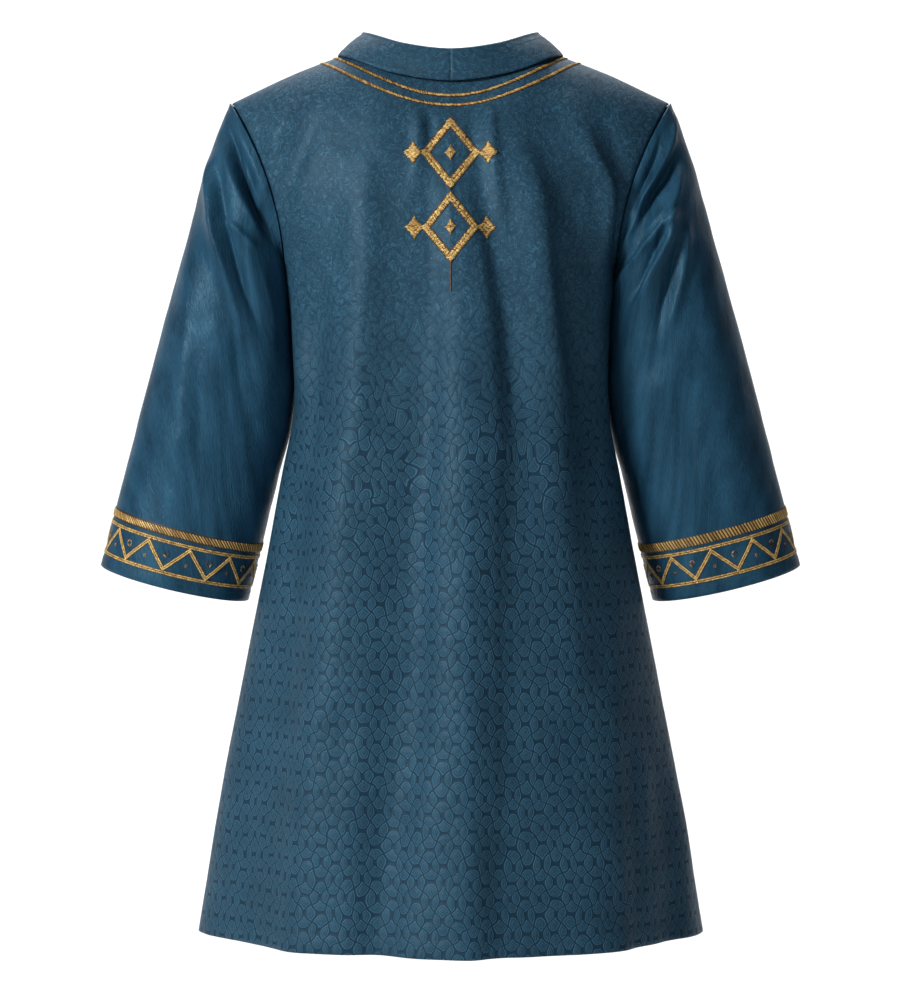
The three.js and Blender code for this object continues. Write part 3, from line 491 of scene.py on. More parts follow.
def sleeve_grid(side, columns, lines):
    """A sleeve's points with its folds, as rows from the armhole to the cuff."""
    round_, along = np.meshgrid(np.linspace(0, 1, columns + 1), np.linspace(0, 1, lines + 1))
    plain, slant = sleeve(round_, along)
    plain[..., 0] *= side
    normals = faced(plain, closed=True, flip=side > 0)
    x, z = abs(plain[..., 0]), plain[..., 2]
    hold = slant**1.5 * smooth(along / 0.12) * (1 - smooth((along - 0.72) / 0.1))
    height = fold_height(FOLDS["sleeve"], x, z) * hold
    name = "sleeve_left" if side < 0 else "sleeve_right"
    loose = smooth(along / 0.06) * slant**0.8
    height += crease_height(CREASES[name], x, z, 1.35) * loose
    calm = 1 - 0.75 * smooth((along - 0.82) / 0.08)
    calm = calm * (0.35 + 0.65 * slant)
    waves = 1.2 * ripple(plain, 30, 5 + side) + 0.5 * ripple(plain, 12, 2 + side)
    height += smooth(along / 0.08) * calm * waves
    height -= STITCH_DIP * np.exp(-((along * SLEEVE_LENGTH / 3.0) ** 2))
    # Gathers of ease at the head of the sleeve
    head = np.exp(-(((round_ - 0.5) / 0.16) ** 2)) * np.exp(-(((along - 0.035) / 0.03) ** 2))
    height += 0.35 * np.sin(round_ * 2 * math.pi * 46) * head
    height += CUFF_RISE * smooth((along - 1 + (CUFF_TURN_UP + 1) / NEAR_CUFF) * NEAR_CUFF / 2)
    made = plain + normals * height[..., None]
    # Round the armhole the sleeve dips to meet the panels' pulled-in edges.
    middle = np.array([0, 0, (UNDERARM_Z + SHOULDER_Z) / 2])
    top = np.exp(-(((round_ - 0.5) / 0.07) ** 2))
    dip = 1.6 * np.maximum(0, 1 - along / 0.05) ** 2 * (1 - 0.1 * top)
    made -= unit((made - middle) * (0, 1, 1)) * dip[..., None]
    # The seam allowance is tucked under the panels' edges.
    tucked = made[0] - unit((made[0] - middle) * (0, 1, 1)) * 1.9
    tucked[:, 0] -= side * 3.5
    return np.concatenate([tucked[None], made])


def collar_grid(side, columns, fall):
    """Half a collar: up the stand inside, over the fold and down the fall."""
    turns = np.linspace(0.1, COLLAR["turn"][-1], columns + 1)
    shares = np.concatenate(
        [np.linspace(0, 1, 7)[:-1], np.linspace(1, 2, 9)[:-1], np.linspace(2, 3, fall + 1)]
    )
    turn, share = np.meshgrid(turns, shares)
    foot = neckline(turn)
    fold = point(*(read(COLLAR, "turn", name, turn) for name in ("foldX", "foldY", "foldZ")))
    edge = point(*(read(COLLAR, "turn", name, turn) for name in ("edgeX", "edgeY", "edgeZ")))
    out = unit((edge - foot) * (1, 1, 0))
    foot = foot - out * COLLAR_WALL * 0.5
    foot[..., 2] += COLLAR_LIFT

    def rim(angle):
        """The line along the collar at an angle round its fold."""
        made = fold - out * (COLLAR_FOLD * np.cos(angle))[..., None]
        made[..., 2] += COLLAR_FOLD * (np.sin(angle) - 1)
        return made

    flat = np.zeros_like(share)
    stand = foot + (rim(flat) - foot) * np.clip(share, 0, 1)[..., None]
    over = rim(math.radians(165) * np.clip(share - 1, 0, 1))
    down = np.clip(share - 2, 0, 1)
    bow = COLLAR_BOW * np.sin(math.pi * down)
    start = rim(flat + math.radians(165))
    fallen = start + (edge - start) * down[..., None] + out * bow[..., None]
    fallen[..., 2] += bow / 2
    made = np.where((share < 1)[..., None], stand, np.where((share < 2)[..., None], over, fallen))
    # The turned edge of the fall is a little fuller than the cloth inside it, and its middle a little uneven.
    fullness = 0.5 * np.exp(-((((1 - down) * 30 - 3) / 3.2) ** 2)) * (share > 2)
    wave = 0.45 * ripple(made, 26, 4.4) * smooth((share - 1.6) / 0.8) * smooth((3 - share) / 0.2)
    made += out * (fullness + wave)[..., None]
    made[..., 0] = np.maximum(made[..., 0], 0.12)
    tucked = made[:, :1] - out[:, :1] * np.where(share[:, :1] > 1, TUCK, -TUCK)[..., None]
    tucked[..., 0] = -1.2
    made = np.concatenate([tucked, made], 1)
    made[..., 0] *= side
    return made


# ---- Making meshes -----------------------------------------------------------------------------------


def lay_out(points, across=(0, 1), up=(1, 2)):
    """Where each point of a grid lies on the flat cloth in millimetres, measured from the middle column."""
    rows_, columns = points.shape[:2]
    step_u = np.linalg.norm(np.diff(points[..., across], axis=1), axis=-1)
    u = np.concatenate([np.zeros((rows_, 1)), np.cumsum(step_u, 1)], 1)
    u -= u[:, columns // 2 : columns // 2 + 1]
    step_v = np.linalg.norm(np.diff(points[..., up], axis=0), axis=-1)
    v = np.concatenate([np.zeros((1, columns)), np.cumsum(step_v, 0)], 0)
    return np.stack([u, v + points[:1, :, 2]], -1)


def to_mesh(bm, name):
    for face in bm.faces:
        face.smooth = True
    mesh = bpy.data.meshes.new(name)
    bm.to_mesh(mesh)
    bm.free()
    return mesh


def link(name, data, materials=()):
    made = bpy.data.objects.new(name, data)
    bpy.context.scene.collection.objects.link(made)
    for material in materials:
        data.materials.append(material)
    return made


def cloth(name, points, flat, flip=False, closed=False, gap=None):
    """A surface over a grid of points in millimetres, with the flat cloth's own coordinates as its UV map.
    gap names the grid's faces, by row and column, that stay open."""
    lines, columns = points.shape[0] - 1, points.shape[1] - 1
    bm = bmesh.new()
    bmesh.ops.create_grid(bm, x_segments=columns, y_segments=lines, size=1)
    uv = bm.loops.layers.uv.new("flat_cloth")
    place = {}
    for vert in bm.verts:
        place[vert] = (round((vert.co.y + 1) / 2 * lines), round((vert.co.x + 1) / 2 * columns))
    open_faces = []
    for face in bm.faces:
        for loop in face.loops:
            loop[uv].uv = flat[place[loop.vert]]
        if gap and gap(*(min(places) for places in zip(*(place[vert] for vert in face.verts)))):
            open_faces.append(face)
    for vert, spot in place.items():
        vert.co = Vector(points[spot]) * MM
    if open_faces:
        bmesh.ops.delete(bm, geom=open_faces, context="FACES_ONLY")
    if closed or gap:
        bmesh.ops.remove_doubles(bm, verts=bm.verts, dist=0.02 * MM)
    if flip:
        bmesh.ops.reverse_faces(bm, faces=bm.faces)
    return to_mesh(bm, name)


def cloth_piece(name, points, material, thickness, across=(0, 1), up=(1, 2), **shape):
    """A piece of cloth with its wall, on the inside of the surface that the points give."""
    made = link(name, cloth(name, points, lay_out(points, across, up), **shape), [material])
    wall = made.modifiers.new("Cloth wall", "SOLIDIFY")
    wall.thickness = thickness
    wall.offset = -1
    wall.use_quality_normals = True
    return made


def finish_piece(made, nodes):
    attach(made, "root")
    if nodes:
        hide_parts(*nodes)
    return made


# ---- Thread ------------------------------------------------------------------------------------------

# Running stitches: from stitch to stitch, then length, width, height and lift off the cloth
STITCHES = {
    "diamond outline": (2.2, 3.0, 0.95, 0.7, 0.35),
    "ear outline": (2.0, 2.8, 0.9, 0.7, 0.3),
    "hem": (3.4, 2.4, 0.6, 0.5, 0.05),
    "cuff edge": (3.2, 2.3, 0.55, 0.5, 0.05),
    "collar edge": (3.0, 2.2, 0.55, 0.5, 0.05),
    "centre back": (3.0, 2.0, 0.55, 0.5, 0.05),
}
BROWN_SLOT = 1  # the material slot of the brown thread, gold being 0. The brown strips under the strands use it too; their brown in the gaps and along the edges is in part painted shade


def strand_shape():
    """One stitch as it shows: a strand 1 long along Z and 1 thick, that dips into the cloth at both ends."""
    bm = bmesh.new()
    bmesh.ops.create_uvsphere(bm, u_segments=6, v_segments=4, radius=0.5)
    for vert in bm.verts:
        if 0.1 < abs(vert.co.z) < 0.45:
            vert.co.z *= 1.05
            vert.co.x *= 1.22
            vert.co.y *= 1.16
    mesh = to_mesh(bm, "strand")
    mesh.attributes.new("tone", "FLOAT", "POINT")
    return mesh


class Needle:
    """Sews strands of thread into one mesh, each with its own tone."""

    def __init__(self, name, seed):
        self.name = name
        self.chance = random.Random(seed)
        self.between = self.chance.uniform
        self.bm = bmesh.new()
        self.strand = strand_shape()

    def tone(self, low, high, share, dark):
        """A strand's tone, which for a share of the strands is a dark one."""
        return self.between(low, high) if self.chance.random() > share else dark

    def strip(self, spots, width):
        """A thin band of brown thread along spots on the cloth, so no cloth shows between strands; where it
        shows it is in part painted shade.
        """
        start, last = len(self.bm.verts), len(spots) - 1
        bmesh.ops.create_grid(self.bm, x_segments=2, y_segments=last, size=1)
        self.bm.verts.ensure_lookup_table()
        new = self.bm.verts[start:]
        for vert in new:
            i = round((vert.co.y + 1) / 2 * last)
            where, normal = spots[i]
            side = (spots[min(i + 1, last)][0] - spots[max(i - 1, 0)][0]).cross(normal).normalized()
            share = vert.co.x
            lift = 0.42 if abs(share) < 0.5 else 0.02
            vert.co = where + side * (share * width / 2 * MM) + normal * (lift * MM)
        for face in {face for vert in new for face in vert.link_faces}:
            face.material_index = BROWN_SLOT

    def sew(self, middle, along, normal, length, width, height, material=0, lift=0.35, tone=None):
        """One strand, its sizes in millimetres."""
        along = (along - normal * along.dot(normal)).normalized()
        side = along.cross(normal)
        centre = middle + normal * (lift * MM)
        lines = [
            (side[i] * width * MM, normal[i] * height * MM, along[i] * length * MM, centre[i])
            for i in range(3)
        ]
        turn = Matrix([*lines, (0, 0, 0, 1)])
        strand = self.strand.copy()
        strand.transform(turn)
        if turn.determinant() < 0:
            strand.flip_normals()
        tone = self.chance.random() if tone is None else tone
        strand.attributes["tone"].data.foreach_set("value", [tone] * len(strand.vertices))
        for polygon in strand.polygons:
            polygon.material_index = material
        self.bm.from_mesh(strand)
        bpy.data.meshes.remove(strand)

    def run(self, spots, stitch, **more):
        """Running stitches along a line of spots."""
        pitch, length, width, height, lift = STITCHES[stitch]
        for where, normal, along in evenly(spots, pitch):
            self.sew(where, along, normal, length, width, height, lift=lift, **more)

    def knot(self, spot, angles, *sizes, **more):
        """Strands that cross each other on one spot of the back."""
        for angle in angles:
            self.sew(spot[0], Vector((math.cos(angle), 0, math.sin(angle))), spot[1], *sizes, **more)

    def done(self, materials, nodes):
        bpy.data.meshes.remove(self.strand)
        return finish_piece(link(self.name, to_mesh(self.bm, self.name), materials), nodes)


def surface_of(name):
    """The outer face of a cloth piece, for putting stitches on it."""
    bm = bmesh.new()
    bm.from_mesh(bpy.data.objects[name].data)
    tree = BVHTree.FromBMesh(bm)
    bm.free()
    return tree


def nearest_spot(tree, place, out):
    """The spot of the cloth nearest to a place, with its facing on the side that out points to."""
    where, normal, _, _ = tree.find_nearest(place)
    return where, -normal if normal.dot(out) < 0 else normal


def upwards(normal):
    """The way up along cloth with that facing."""
    return Vector((0, 0, 1)) - normal * normal.z


def cast(tree, start, way):
    """The spot where a line first meets the cloth, with the cloth's smoothed facing there."""
    where, normal, _, _ = tree.ray_cast(start, way)
    if where is None:
        raise RuntimeError(f"no cloth from {tuple(start)} towards {tuple(way)}")
    total = Vector()
    for other in tree.find_nearest_range(where, 0.006):
        total += other[1] * math.exp(-((other[3] / 0.003) ** 2))
    normal = total.normalized() if total.length > 0 else normal
    if normal.dot(way) > 0:
        normal = -normal
    return where, normal


def evenly(spots, pitch):
    """Spots along a line of spots, that far apart in millimetres, with the line's own direction there."""
    lengths = [0.0]
    for (a, _), (b, _) in zip(spots, spots[1:]):
        lengths.append(lengths[-1] + (b - a).length)
    count = max(2, round(lengths[-1] / (pitch * MM)))
    made, i = [], 0
    for k in range(count):
        at = (k + 0.5) / count * lengths[-1]
        while lengths[i + 1] < at:
            i += 1
        t = (at - lengths[i]) / (lengths[i + 1] - lengths[i])
        (a, na), (b, nb) = spots[i], spots[i + 1]
        before, after = spots[max(0, i - 1)][0], spots[min(len(spots) - 1, i + 2)][0]
        made.append((a.lerp(b, t), na.lerp(nb, t).normalized(), (after - before).normalized()))
    return made


def back_spot(tree, x, z):
    return cast(tree, Vector((x * MM, -0.5, z * MM)), Vector((0, 1, 0)))


def braid_spots(back, front, half, low, high, reach, steps=150):
    """The line of a neck braid, from one side of the slit round the back to the other."""
    spots = []
    for turn in np.linspace(-BRAID_END, BRAID_END, steps * 2 + 1):
        s, c = math.sin(math.radians(turn)), math.cos(math.radians(turn))
        if abs(abs(turn) - 90) < 3:
            continue
        if c > 0:
            z = high + (low - high) * math.cos(math.pi / 2 * s)
            spots.append(back_spot(back, half * s, z))
        else:
            start = Vector((half * s * MM, -reach * c * MM, 0.2))
            spots.append(cast(front, start, Vector((0, 0, -1))))
    return spots


# ---- Colour and materials ----------------------------------------------------------------------------


def linear(colour):
    """An sRGB hex value as the linear colour that shaders take."""
    channels = [int(colour[i : i + 2], 16) / 255 for i in (1, 3, 5)]
    return (*(c / 12.92 if c <= 0.04045 else ((c + 0.055) / 1.055) ** 2.4 for c in channels), 1.0)


def add(tree, kind, *values, out=0, inputs=None, **settings):
    """Adds a node with its settings, sets or links its sockets in order or by key, and gives an output."""
    node = tree.nodes.new("ShaderNode" + kind)
    for name, value in settings.items():
        setattr(node, name, value)
    for key, value in [*enumerate(values), *(inputs or {}).items()]:
        if isinstance(value, bpy.types.NodeSocket):
            tree.links.new(value, node.inputs[key])
        else:
            node.inputs[key].default_value = value
    return node.outputs[out] if node.outputs else node


def start_material(name):
    """A new material without nodes, and what adds nodes to it."""
    material = bpy.data.materials.new(name)
    material.use_nodes = True
    material.node_tree.nodes.clear()
    return material, partial(add, material.node_tree)


def band(node, value, middle, half, soft):
    """1 where a value is within half of middle, falling to 0 over soft."""
    apart = node("Math", node("Math", value, middle, operation="SUBTRACT"), operation="ABSOLUTE")
    return node("MapRange", apart, half, half + soft, 1, 0, interpolation_type="SMOOTHSTEP")


def finish_cloth(node, tone, dark, light, relief, strength, depth, **inputs):
    """The end of each patterned material: two colours mixed by a tone, and a relief with its depth in mm."""
    colour = node("Mix", tone, data_type="RGBA", out=2, inputs={6: linear(dark), 7: linear(light)})
    bump = node("Bump", inputs={"Strength": strength, "Distance": depth * MM, "Height": relief})
    inputs = {name.replace("_", " "): value for name, value in inputs.items()}
    shader = node("BsdfPrincipled", inputs={"Base Color": colour, "Normal": bump, **inputs})
    node("OutputMaterial", shader)


LATTICE = (13.3, 15.5)  # millimetres between the points where the damask's eyes meet
# The arcs that draw an eye, as shares of a cell: how far off their centre lies, and their radius
EYES = {"upright": ((0.6976, 0.0, 0.0), 0.5376), "level": ((0.0, 0.6125, 0.0), 0.5125)}
EYE_CLEARANCE = 0.7  # how fast an eye draws back from the line where it would cross its neighbour
SWAY = (0.15, -0.1, 0.0)  # how far the eyes lean out of every second cell and into the others
LEAST_FIGURE = 0.08


def damask_material(settings):
    """Damask: a jacquard-woven cloth whose satin floats draw tonal rings of four pointed eyes on a duller
    ground, so the figure shows as a lighter, glossier line."""
    material, node = start_material("Polyester damask, jacquard woven")
    flat = node("UVMap", uv_map="flat_cloth")
    height = node("SeparateXYZ", flat, out=1)
    # The weave wanders a little over the whole cloth, and more in the yoke.
    wander = node("TexNoise", flat, noise_dimensions="2D", inputs={"Scale": 0.03, "Detail": 1}, out="Color")
    wander = node("VectorMath", wander, (0.5, 0.5, 0.5), operation="SUBTRACT")
    loose = node("MapRange", height, -560, -300, 9, 24, interpolation_type="SMOOTHSTEP")
    wander = node("VectorMath", wander, operation="SCALE", inputs={3: loose})
    cell = node("VectorMath", flat, wander, operation="ADD")
    cell = node("VectorMath", cell, (*LATTICE, 1), operation="DIVIDE")
    # Round every second cell the eyes draw together into a ring.
    half_turns = node("VectorMath", cell, operation="SCALE", inputs={3: math.pi})
    sines = node("VectorMath", half_turns, operation="SINE")
    cosines = node("VectorMath", half_turns, operation="COSINE")
    swapped = node("CombineXYZ", node("SeparateXYZ", sines, out=1), node("SeparateXYZ", sines))
    sway = node("VectorMath", swapped, cosines, operation="MULTIPLY")
    cell = node("VectorMath", sway, SWAY, cell, operation="MULTIPLY_ADD")
    cell = node("VectorMath", cell, operation="FRACTION")
    cell = node("VectorMath", cell, (0.5, 0.5, 0), operation="SUBTRACT")
    cell = node("VectorMath", cell, operation="ABSOLUTE")
    cell = node("VectorMath", cell, (1, 1, 0), operation="MULTIPLY")
    # The arcs pass through the points where eyes meet, so each pair of arcs draws an eye with pointed ends.
    # Near those points each eye also stops short of its neighbours, which leaves a star of ground with thin
    # points.
    eyes = []
    apart = node("Math", node("SeparateXYZ", cell), node("SeparateXYZ", cell, out=1), operation="SUBTRACT")
    for (centre, radius), clearance in zip(EYES.values(), (EYE_CLEARANCE, -EYE_CLEARANCE)):
        reach = node("VectorMath", cell, centre, operation="DISTANCE", out="Value")
        inside = node("Math", radius, reach, operation="SUBTRACT")
        clear = node("Math", apart, clearance, operation="MULTIPLY")
        eyes.append(node("Math", inside, clear, operation="MINIMUM"))
    nearest = node("Math", *eyes, operation="MAXIMUM")
    ring = node("Math", *(band(node, inside, 0.078, 0.012, 0.034) for inside in eyes), operation="MAXIMUM")
    heart = band(node, nearest, 0.215, 0.008, 0.03)
    eye = node("MapRange", nearest, 0.02, 0.055, 0, 1, interpolation_type="SMOOTHSTEP")
    # In the yoke the rings give way to small curled tendrils on filled ground.
    high = node("MapRange", height, -420, -190, 0, 1, interpolation_type="SMOOTHSTEP")
    curls = {"Scale": 0.2, "Detail": 0.5, "Distortion": 0.5}
    tendril = node("TexNoise", flat, noise_dimensions="2D", inputs=curls)
    tendril = node("Math", node("Math", tendril, 2.5, operation="MULTIPLY"), operation="FRACT")
    curl = band(node, tendril, 0.5, 0.075, 0.09)
    eye = node("Math", eye, node("Math", high, 0.75, operation="MULTIPLY"), operation="MAXIMUM")
    figure = LEAST_FIGURE
    # Each part of the figure, with its strength in the skirt and in the yoke
    for part, skirt, yoke in ((ring, 0.85, 0.22), (heart, 0.68, 0.68), (eye, 0.33, 0.33), (curl, 0, 0.74)):
        part = node("Math", part, node("MapRange", high, 0, 1, skirt, yoke), operation="MULTIPLY")
        figure = node("Math", part, figure, operation="MAXIMUM")
    # Threads are about 0.25 mm apart, too fine to show, so the grain is drawn at about 1 mm.
    grain = node("TexNoise", flat, noise_dimensions="2D", inputs={"Scale": 0.9, "Detail": 2})
    patchy = node("TexNoise", flat, noise_dimensions="2D", inputs={"Scale": 0.022, "Detail": 4})
    figure = node("Math", figure, node("MapRange", patchy, 0.3, 0.7, 0.75, 1.1), operation="MULTIPLY")
    tone = node("Math", grain, 0.22, -0.11, operation="MULTIPLY_ADD")
    tone = node("Math", tone, figure, operation="ADD")
    relief = node("Math", grain, 0.25, figure, operation="MULTIPLY_ADD")
    # The eyes stand out less in the yoke.
    emboss = node("MapRange", high, 0, 1, 2.8, 0.6)
    relief = node("Math", nearest, emboss, relief, operation="MULTIPLY_ADD")
    finish_cloth(
        node, tone, settings.damask_ground, settings.damask_figure, relief, 0.8, 0.6,
        Roughness=node("MapRange", figure, 0, 1, 0.54, 0.4),
        Specular_IOR_Level=0.35, Specular_Tint=linear("#A6C8DE"),
    )
    return material


def satin_material(settings):
    """Satin: warp floats lie side by side, so the cloth is smooth and glossy, with faint slubs along them."""
    material, node = start_material("Polyester satin, woven")
    flat = node("UVMap", uv_map="flat_cloth")
    stretched = node("VectorMath", flat, (1, 0.3, 1), operation="MULTIPLY")
    slub = node("TexNoise", stretched, noise_dimensions="2D", inputs={"Scale": 0.7, "Detail": 3})
    patchy = node("TexNoise", flat, noise_dimensions="2D", inputs={"Scale": 0.03, "Detail": 5})
    tone = node("MapRange", node("Math", slub, 0.5, patchy, operation="MULTIPLY_ADD"), 0.4, 1.1)
    # Fine unpressed crinkles, 2 to 6 mm across
    crinkles = {"Scale": 0.22, "Detail": 3, "Distortion": 0.8}
    crinkle = node("TexNoise", flat, noise_dimensions="2D", inputs=crinkles)
    relief = node("Math", slub, 0.2, crinkle, operation="MULTIPLY_ADD")
    finish_cloth(
        node, tone, settings.satin_dark, settings.satin_light, relief, 0.55, 0.9,
        Roughness=0.42, Specular_IOR_Level=0.4, Specular_Tint=linear("#8DB9D4"),
    )
    return material


def thread_material(name, dark, light, roughness, metallic=0.0):
    """Embroidery thread: twisted filament, glossy along the strand, and each strand of its own tone."""
    material, node = start_material(name)
    # Filament twist, drawn at about 0.5 mm because the real 0.1 mm is too fine to show.
    twist = node("TexNoise", node("TexCoord", out="Object"), inputs={"Scale": 1900, "Detail": 2})
    mixed = node("Math", twist, 0.7, -0.35, operation="MULTIPLY_ADD")
    mixed = node("Math", mixed, node("Attribute", attribute_name="tone", out="Fac"), operation="ADD")
    finish_cloth(node, mixed, dark, light, twist, 0.4, 0.15, Roughness=roughness, Metallic=metallic)
    return material


def plain_material(name, colour, roughness, scale):
    """A painted studio surface, with a trace of unevenness in its gloss."""
    material, node = start_material(name)
    grain = node("TexNoise", node("TexCoord", out="Object"), inputs={"Scale": scale})
    gloss = node("MapRange", grain, 0, 1, roughness - 0.03, roughness + 0.03)
    node("OutputMaterial", node("BsdfPrincipled", inputs={"Base Color": linear(colour), "Roughness": gloss}))
    return material


def shared(name, make, *values):
    """A material made once and then used again."""
    return bpy.data.materials.get(name) or make(*values)


def damask(settings):
    return shared("Polyester damask, jacquard woven", damask_material, settings)


def satin(settings):
    return shared("Polyester satin, woven", satin_material, settings)


def thread_of(name, *values):
    return shared(name, thread_material, name, *values)


def embroidery(settings):
    """The gold thread of the embroidery and the brown one of its outlines and of the strips under it, in part
    painted shade.
    """
    return [
        thread_of("Gold metallised thread, twisted", settings.gold_dark, settings.gold_light, 0.38, 0.35),
        thread_of("Brown polyester thread, twisted", settings.brown_dark, settings.brown_light, 0.55),
    ]


def sewing(settings):
    return [thread_of("Blue sewing thread, twisted", settings.navy_dark, settings.navy_light, 0.5)]


# ---- Settings ----------------------------------------------------------------------------------------


def length(name, use, value):
    return bpy.props.FloatProperty(name=name, description=use, default=value, unit="LENGTH")


def colour(name, use, value):
    return bpy.props.StringProperty(name=name, description=f"{use}, as sRGB hex", default=value)


class TunicCloth(bpy.types.PropertyGroup):
    """Sizes and colours of the cloth"""

    wall: length("Thickness", "Thickness of the cloth", 1.0 * MM)
    columns: bpy.props.IntProperty(name="Columns", description="Faces across the back panel", default=150)
    lines: bpy.props.IntProperty(name="Lines", description="Faces up the back panel", default=270)
    damask_ground: colour("Damask ground", "Colour of the dull weave", "#152D3F")
    damask_figure: colour("Damask figure", "Colour of the glossy weave", "#3D6984")
    satin_dark: colour("Satin, dark", "Deeper colour of the satin", "#122E42")
    satin_light: colour("Satin, light", "Lighter colour of the satin", "#2A5570")


class TunicThread(bpy.types.PropertyGroup):
    """Sizes and colours of the embroidery and sewing"""

    braid_pitch: length("Braid pitch", "From stitch to stitch along a neck braid", 1.1 * MM)
    satin_pitch: length("Satin stitch pitch", "From stitch to stitch in the diamonds", 0.8 * MM)
    rope_pitch: length("Rope pitch", "From strand to strand in the cuff's rope band", 3.1 * MM)
    gold_dark: colour("Gold, dark", "Deeper colour of the gold thread", "#875F2C")
    gold_light: colour("Gold, light", "Lighter colour of the gold thread", "#E6C47C")
    brown_dark: colour("Brown, dark", "Deeper colour of the outline thread", "#2E1D12")
    brown_light: colour("Brown, light", "Lighter colour of the outline thread", "#6A4528")
    navy_dark: colour("Blue, dark", "Deeper colour of the sewing thread", "#0C2231")
    navy_light: colour("Blue, light", "Lighter colour of the sewing thread", "#244760")


class TunicStage(bpy.types.PropertyGroup):
    """The floor, light and camera"""

    distance: length("Camera distance", "From the camera to the shoulder line", 2.6)
    floor: colour("Floor", "Colour of the floor", "#F2F2F2")


# ---- Pieces ------------------------------------------------------------------------------------------


def heights(settings, skirt, yoke):
    """Where the lines of a panel's grid lie, with a share of them in its skirt and one in its yoke."""
    above = np.linspace(0, 1, round(settings.lines * yoke) + 1)[1:] ** 0.85
    return np.concatenate([np.linspace(0.0006, 1, round(settings.lines * skirt)), 1 + 0.999 * above])


class TUNIC_OT_back(bpy.types.Operator):
    """Make the back panel of damask"""

    bl_idname = "tunic.back"
    bl_label = "Back panel"

    def execute(self, context):
        settings = context.scene.tunic_cloth
        across, up = np.meshgrid(np.linspace(-1, 1, settings.columns + 1), heights(settings, 0.7, 0.3))
        points = panel("back", across, up)
        points[..., 1] = np.minimum(points[..., 1], -CLEAR_OF_SIDE)
        made = cloth_piece("back_cloth", points, damask(settings), settings.wall)
        finish_piece(made, ["back_panel"])
        return {"FINISHED"}


class TUNIC_OT_front(bpy.types.Operator):
    """Make the front panel of damask, with its neck slit"""

    bl_idname = "tunic.front"
    bl_label = "Front panel"

    def execute(self, context):
        settings = context.scene.tunic_cloth
        half = np.linspace(0.00001, 1, round(settings.columns * 0.38))
        across, up = np.meshgrid(np.concatenate([-half[::-1], half]), heights(settings, 0.5, 0.24))
        points = panel("front", across, up)
        points[..., 1] = np.maximum(points[..., 1], CLEAR_OF_SIDE)
        middle = len(half) - 1
        high = points[:, middle, 2] > SLIT_BOTTOM + 1
        # The allowances of its side and shoulder seams are tucked under the back panel.
        held = (up[:, :1] <= 1)[..., None] * (1.0, 1.0, 0.0)
        sides = [points[:, [k]] + held * (-TUCK * np.sign(across[0, k]), -ALLOWANCE, 0) for k in (0, -1)]
        points = np.concatenate([sides[0], points, sides[1]], 1)
        across = np.concatenate([across[:, :1], across, across[:, -1:]], 1)
        seam = (abs(across[-1:]) > NECK_COLUMN)[..., None]
        points = np.concatenate([points, points[-1:] + seam * (0, -ALLOWANCE, -TUCK)])

        def slit(row, column):
            return column == middle + 1 and high[min(row, len(high) - 1)]

        made = cloth_piece("front_cloth", points, damask(settings), settings.wall, flip=True, gap=slit)
        finish_piece(made, ["front_panel"])
        return {"FINISHED"}


class TUNIC_OT_sleeves(bpy.types.Operator):
    """Make both sleeves of satin"""

    bl_idname = "tunic.sleeves"
    bl_label = "Sleeves"

    def execute(self, context):
        settings = context.scene.tunic_cloth
        for side, label in SIDES:
            made = cloth_piece(
                f"sleeve_cloth_{label}", sleeve_grid(side, 176, 150), satin(settings), settings.wall,
                across=ALL_AXES, up=ALL_AXES, flip=side > 0, closed=True,
            )
            finish_piece(made, [f"sleeve_{label}"])
        return {"FINISHED"}


class TUNIC_OT_collar(bpy.types.Operator):
    """Make the turned-down collar of damask, in two halves that meet at the centre back"""

    bl_idname = "tunic.collar"
    bl_label = "Collar"

    def execute(self, context):
        settings = context.scene.tunic_cloth
        for side, label in SIDES:
            made = cloth_piece(
                f"collar_cloth_{label}", collar_grid(side, *COLLAR_GRID), damask(settings), 1.3 * MM,
                across=ALL_AXES, up=ALL_AXES, flip=side > 0,
            )
            finish_piece(made, [f"collar_{label}"])
        return {"FINISHED"}


class TUNIC_OT_braids(bpy.types.Operator):
    """Sew the two gold braids round the neck"""

    bl_idname = "tunic.braids"
    bl_label = "Neck braids"

    def execute(self, context):
        thread = context.scene.tunic_thread
        back, front = surface_of("back_cloth"), surface_of("front_cloth")
        for k, (name, width, *line) in enumerate(BRAIDS):
            needle = Needle(f"braid_{name}_thread", 11 + k)
            spots = braid_spots(back, front, *line)
            needle.strip(spots, width + 0.7)
            for where, normal, way in evenly(spots, thread.braid_pitch / MM):
                side = way.cross(normal)
                along = side + way * needle.between(0.5, 1.1)
                where = where + side * (needle.between(-0.3, 0.3) * MM)
                tone = needle.tone(0.05, 0.9, 0.16, -0.3)
                length = (width - 0.1) * needle.between(0.88, 1.15)
                needle.sew(where, along, normal, length, needle.between(0.85, 1.1), 0.9, lift=0.5, tone=tone)
            needle.done(embroidery(thread), [f"neck_braid_{name}"])
        return {"FINISHED"}


def hollow_star(share):
    """How wide a star with four points and hollow sides is, at a share of the way to its point."""
    if share < STAR_WAIST:
        return 1 - share / STAR_WAIST * (1 - STAR_WAIST)
    return (1 - share) * STAR_WAIST / (1 - STAR_WAIST)


def hollow_ear(share):
    """An ear's half width at a share of its half height. Its sides are a little hollow."""
    return EAR_HALF_WIDTH * ((1 - share) - (1 - EAR_HOLLOW) * math.sin(math.pi * share) * 0.5)


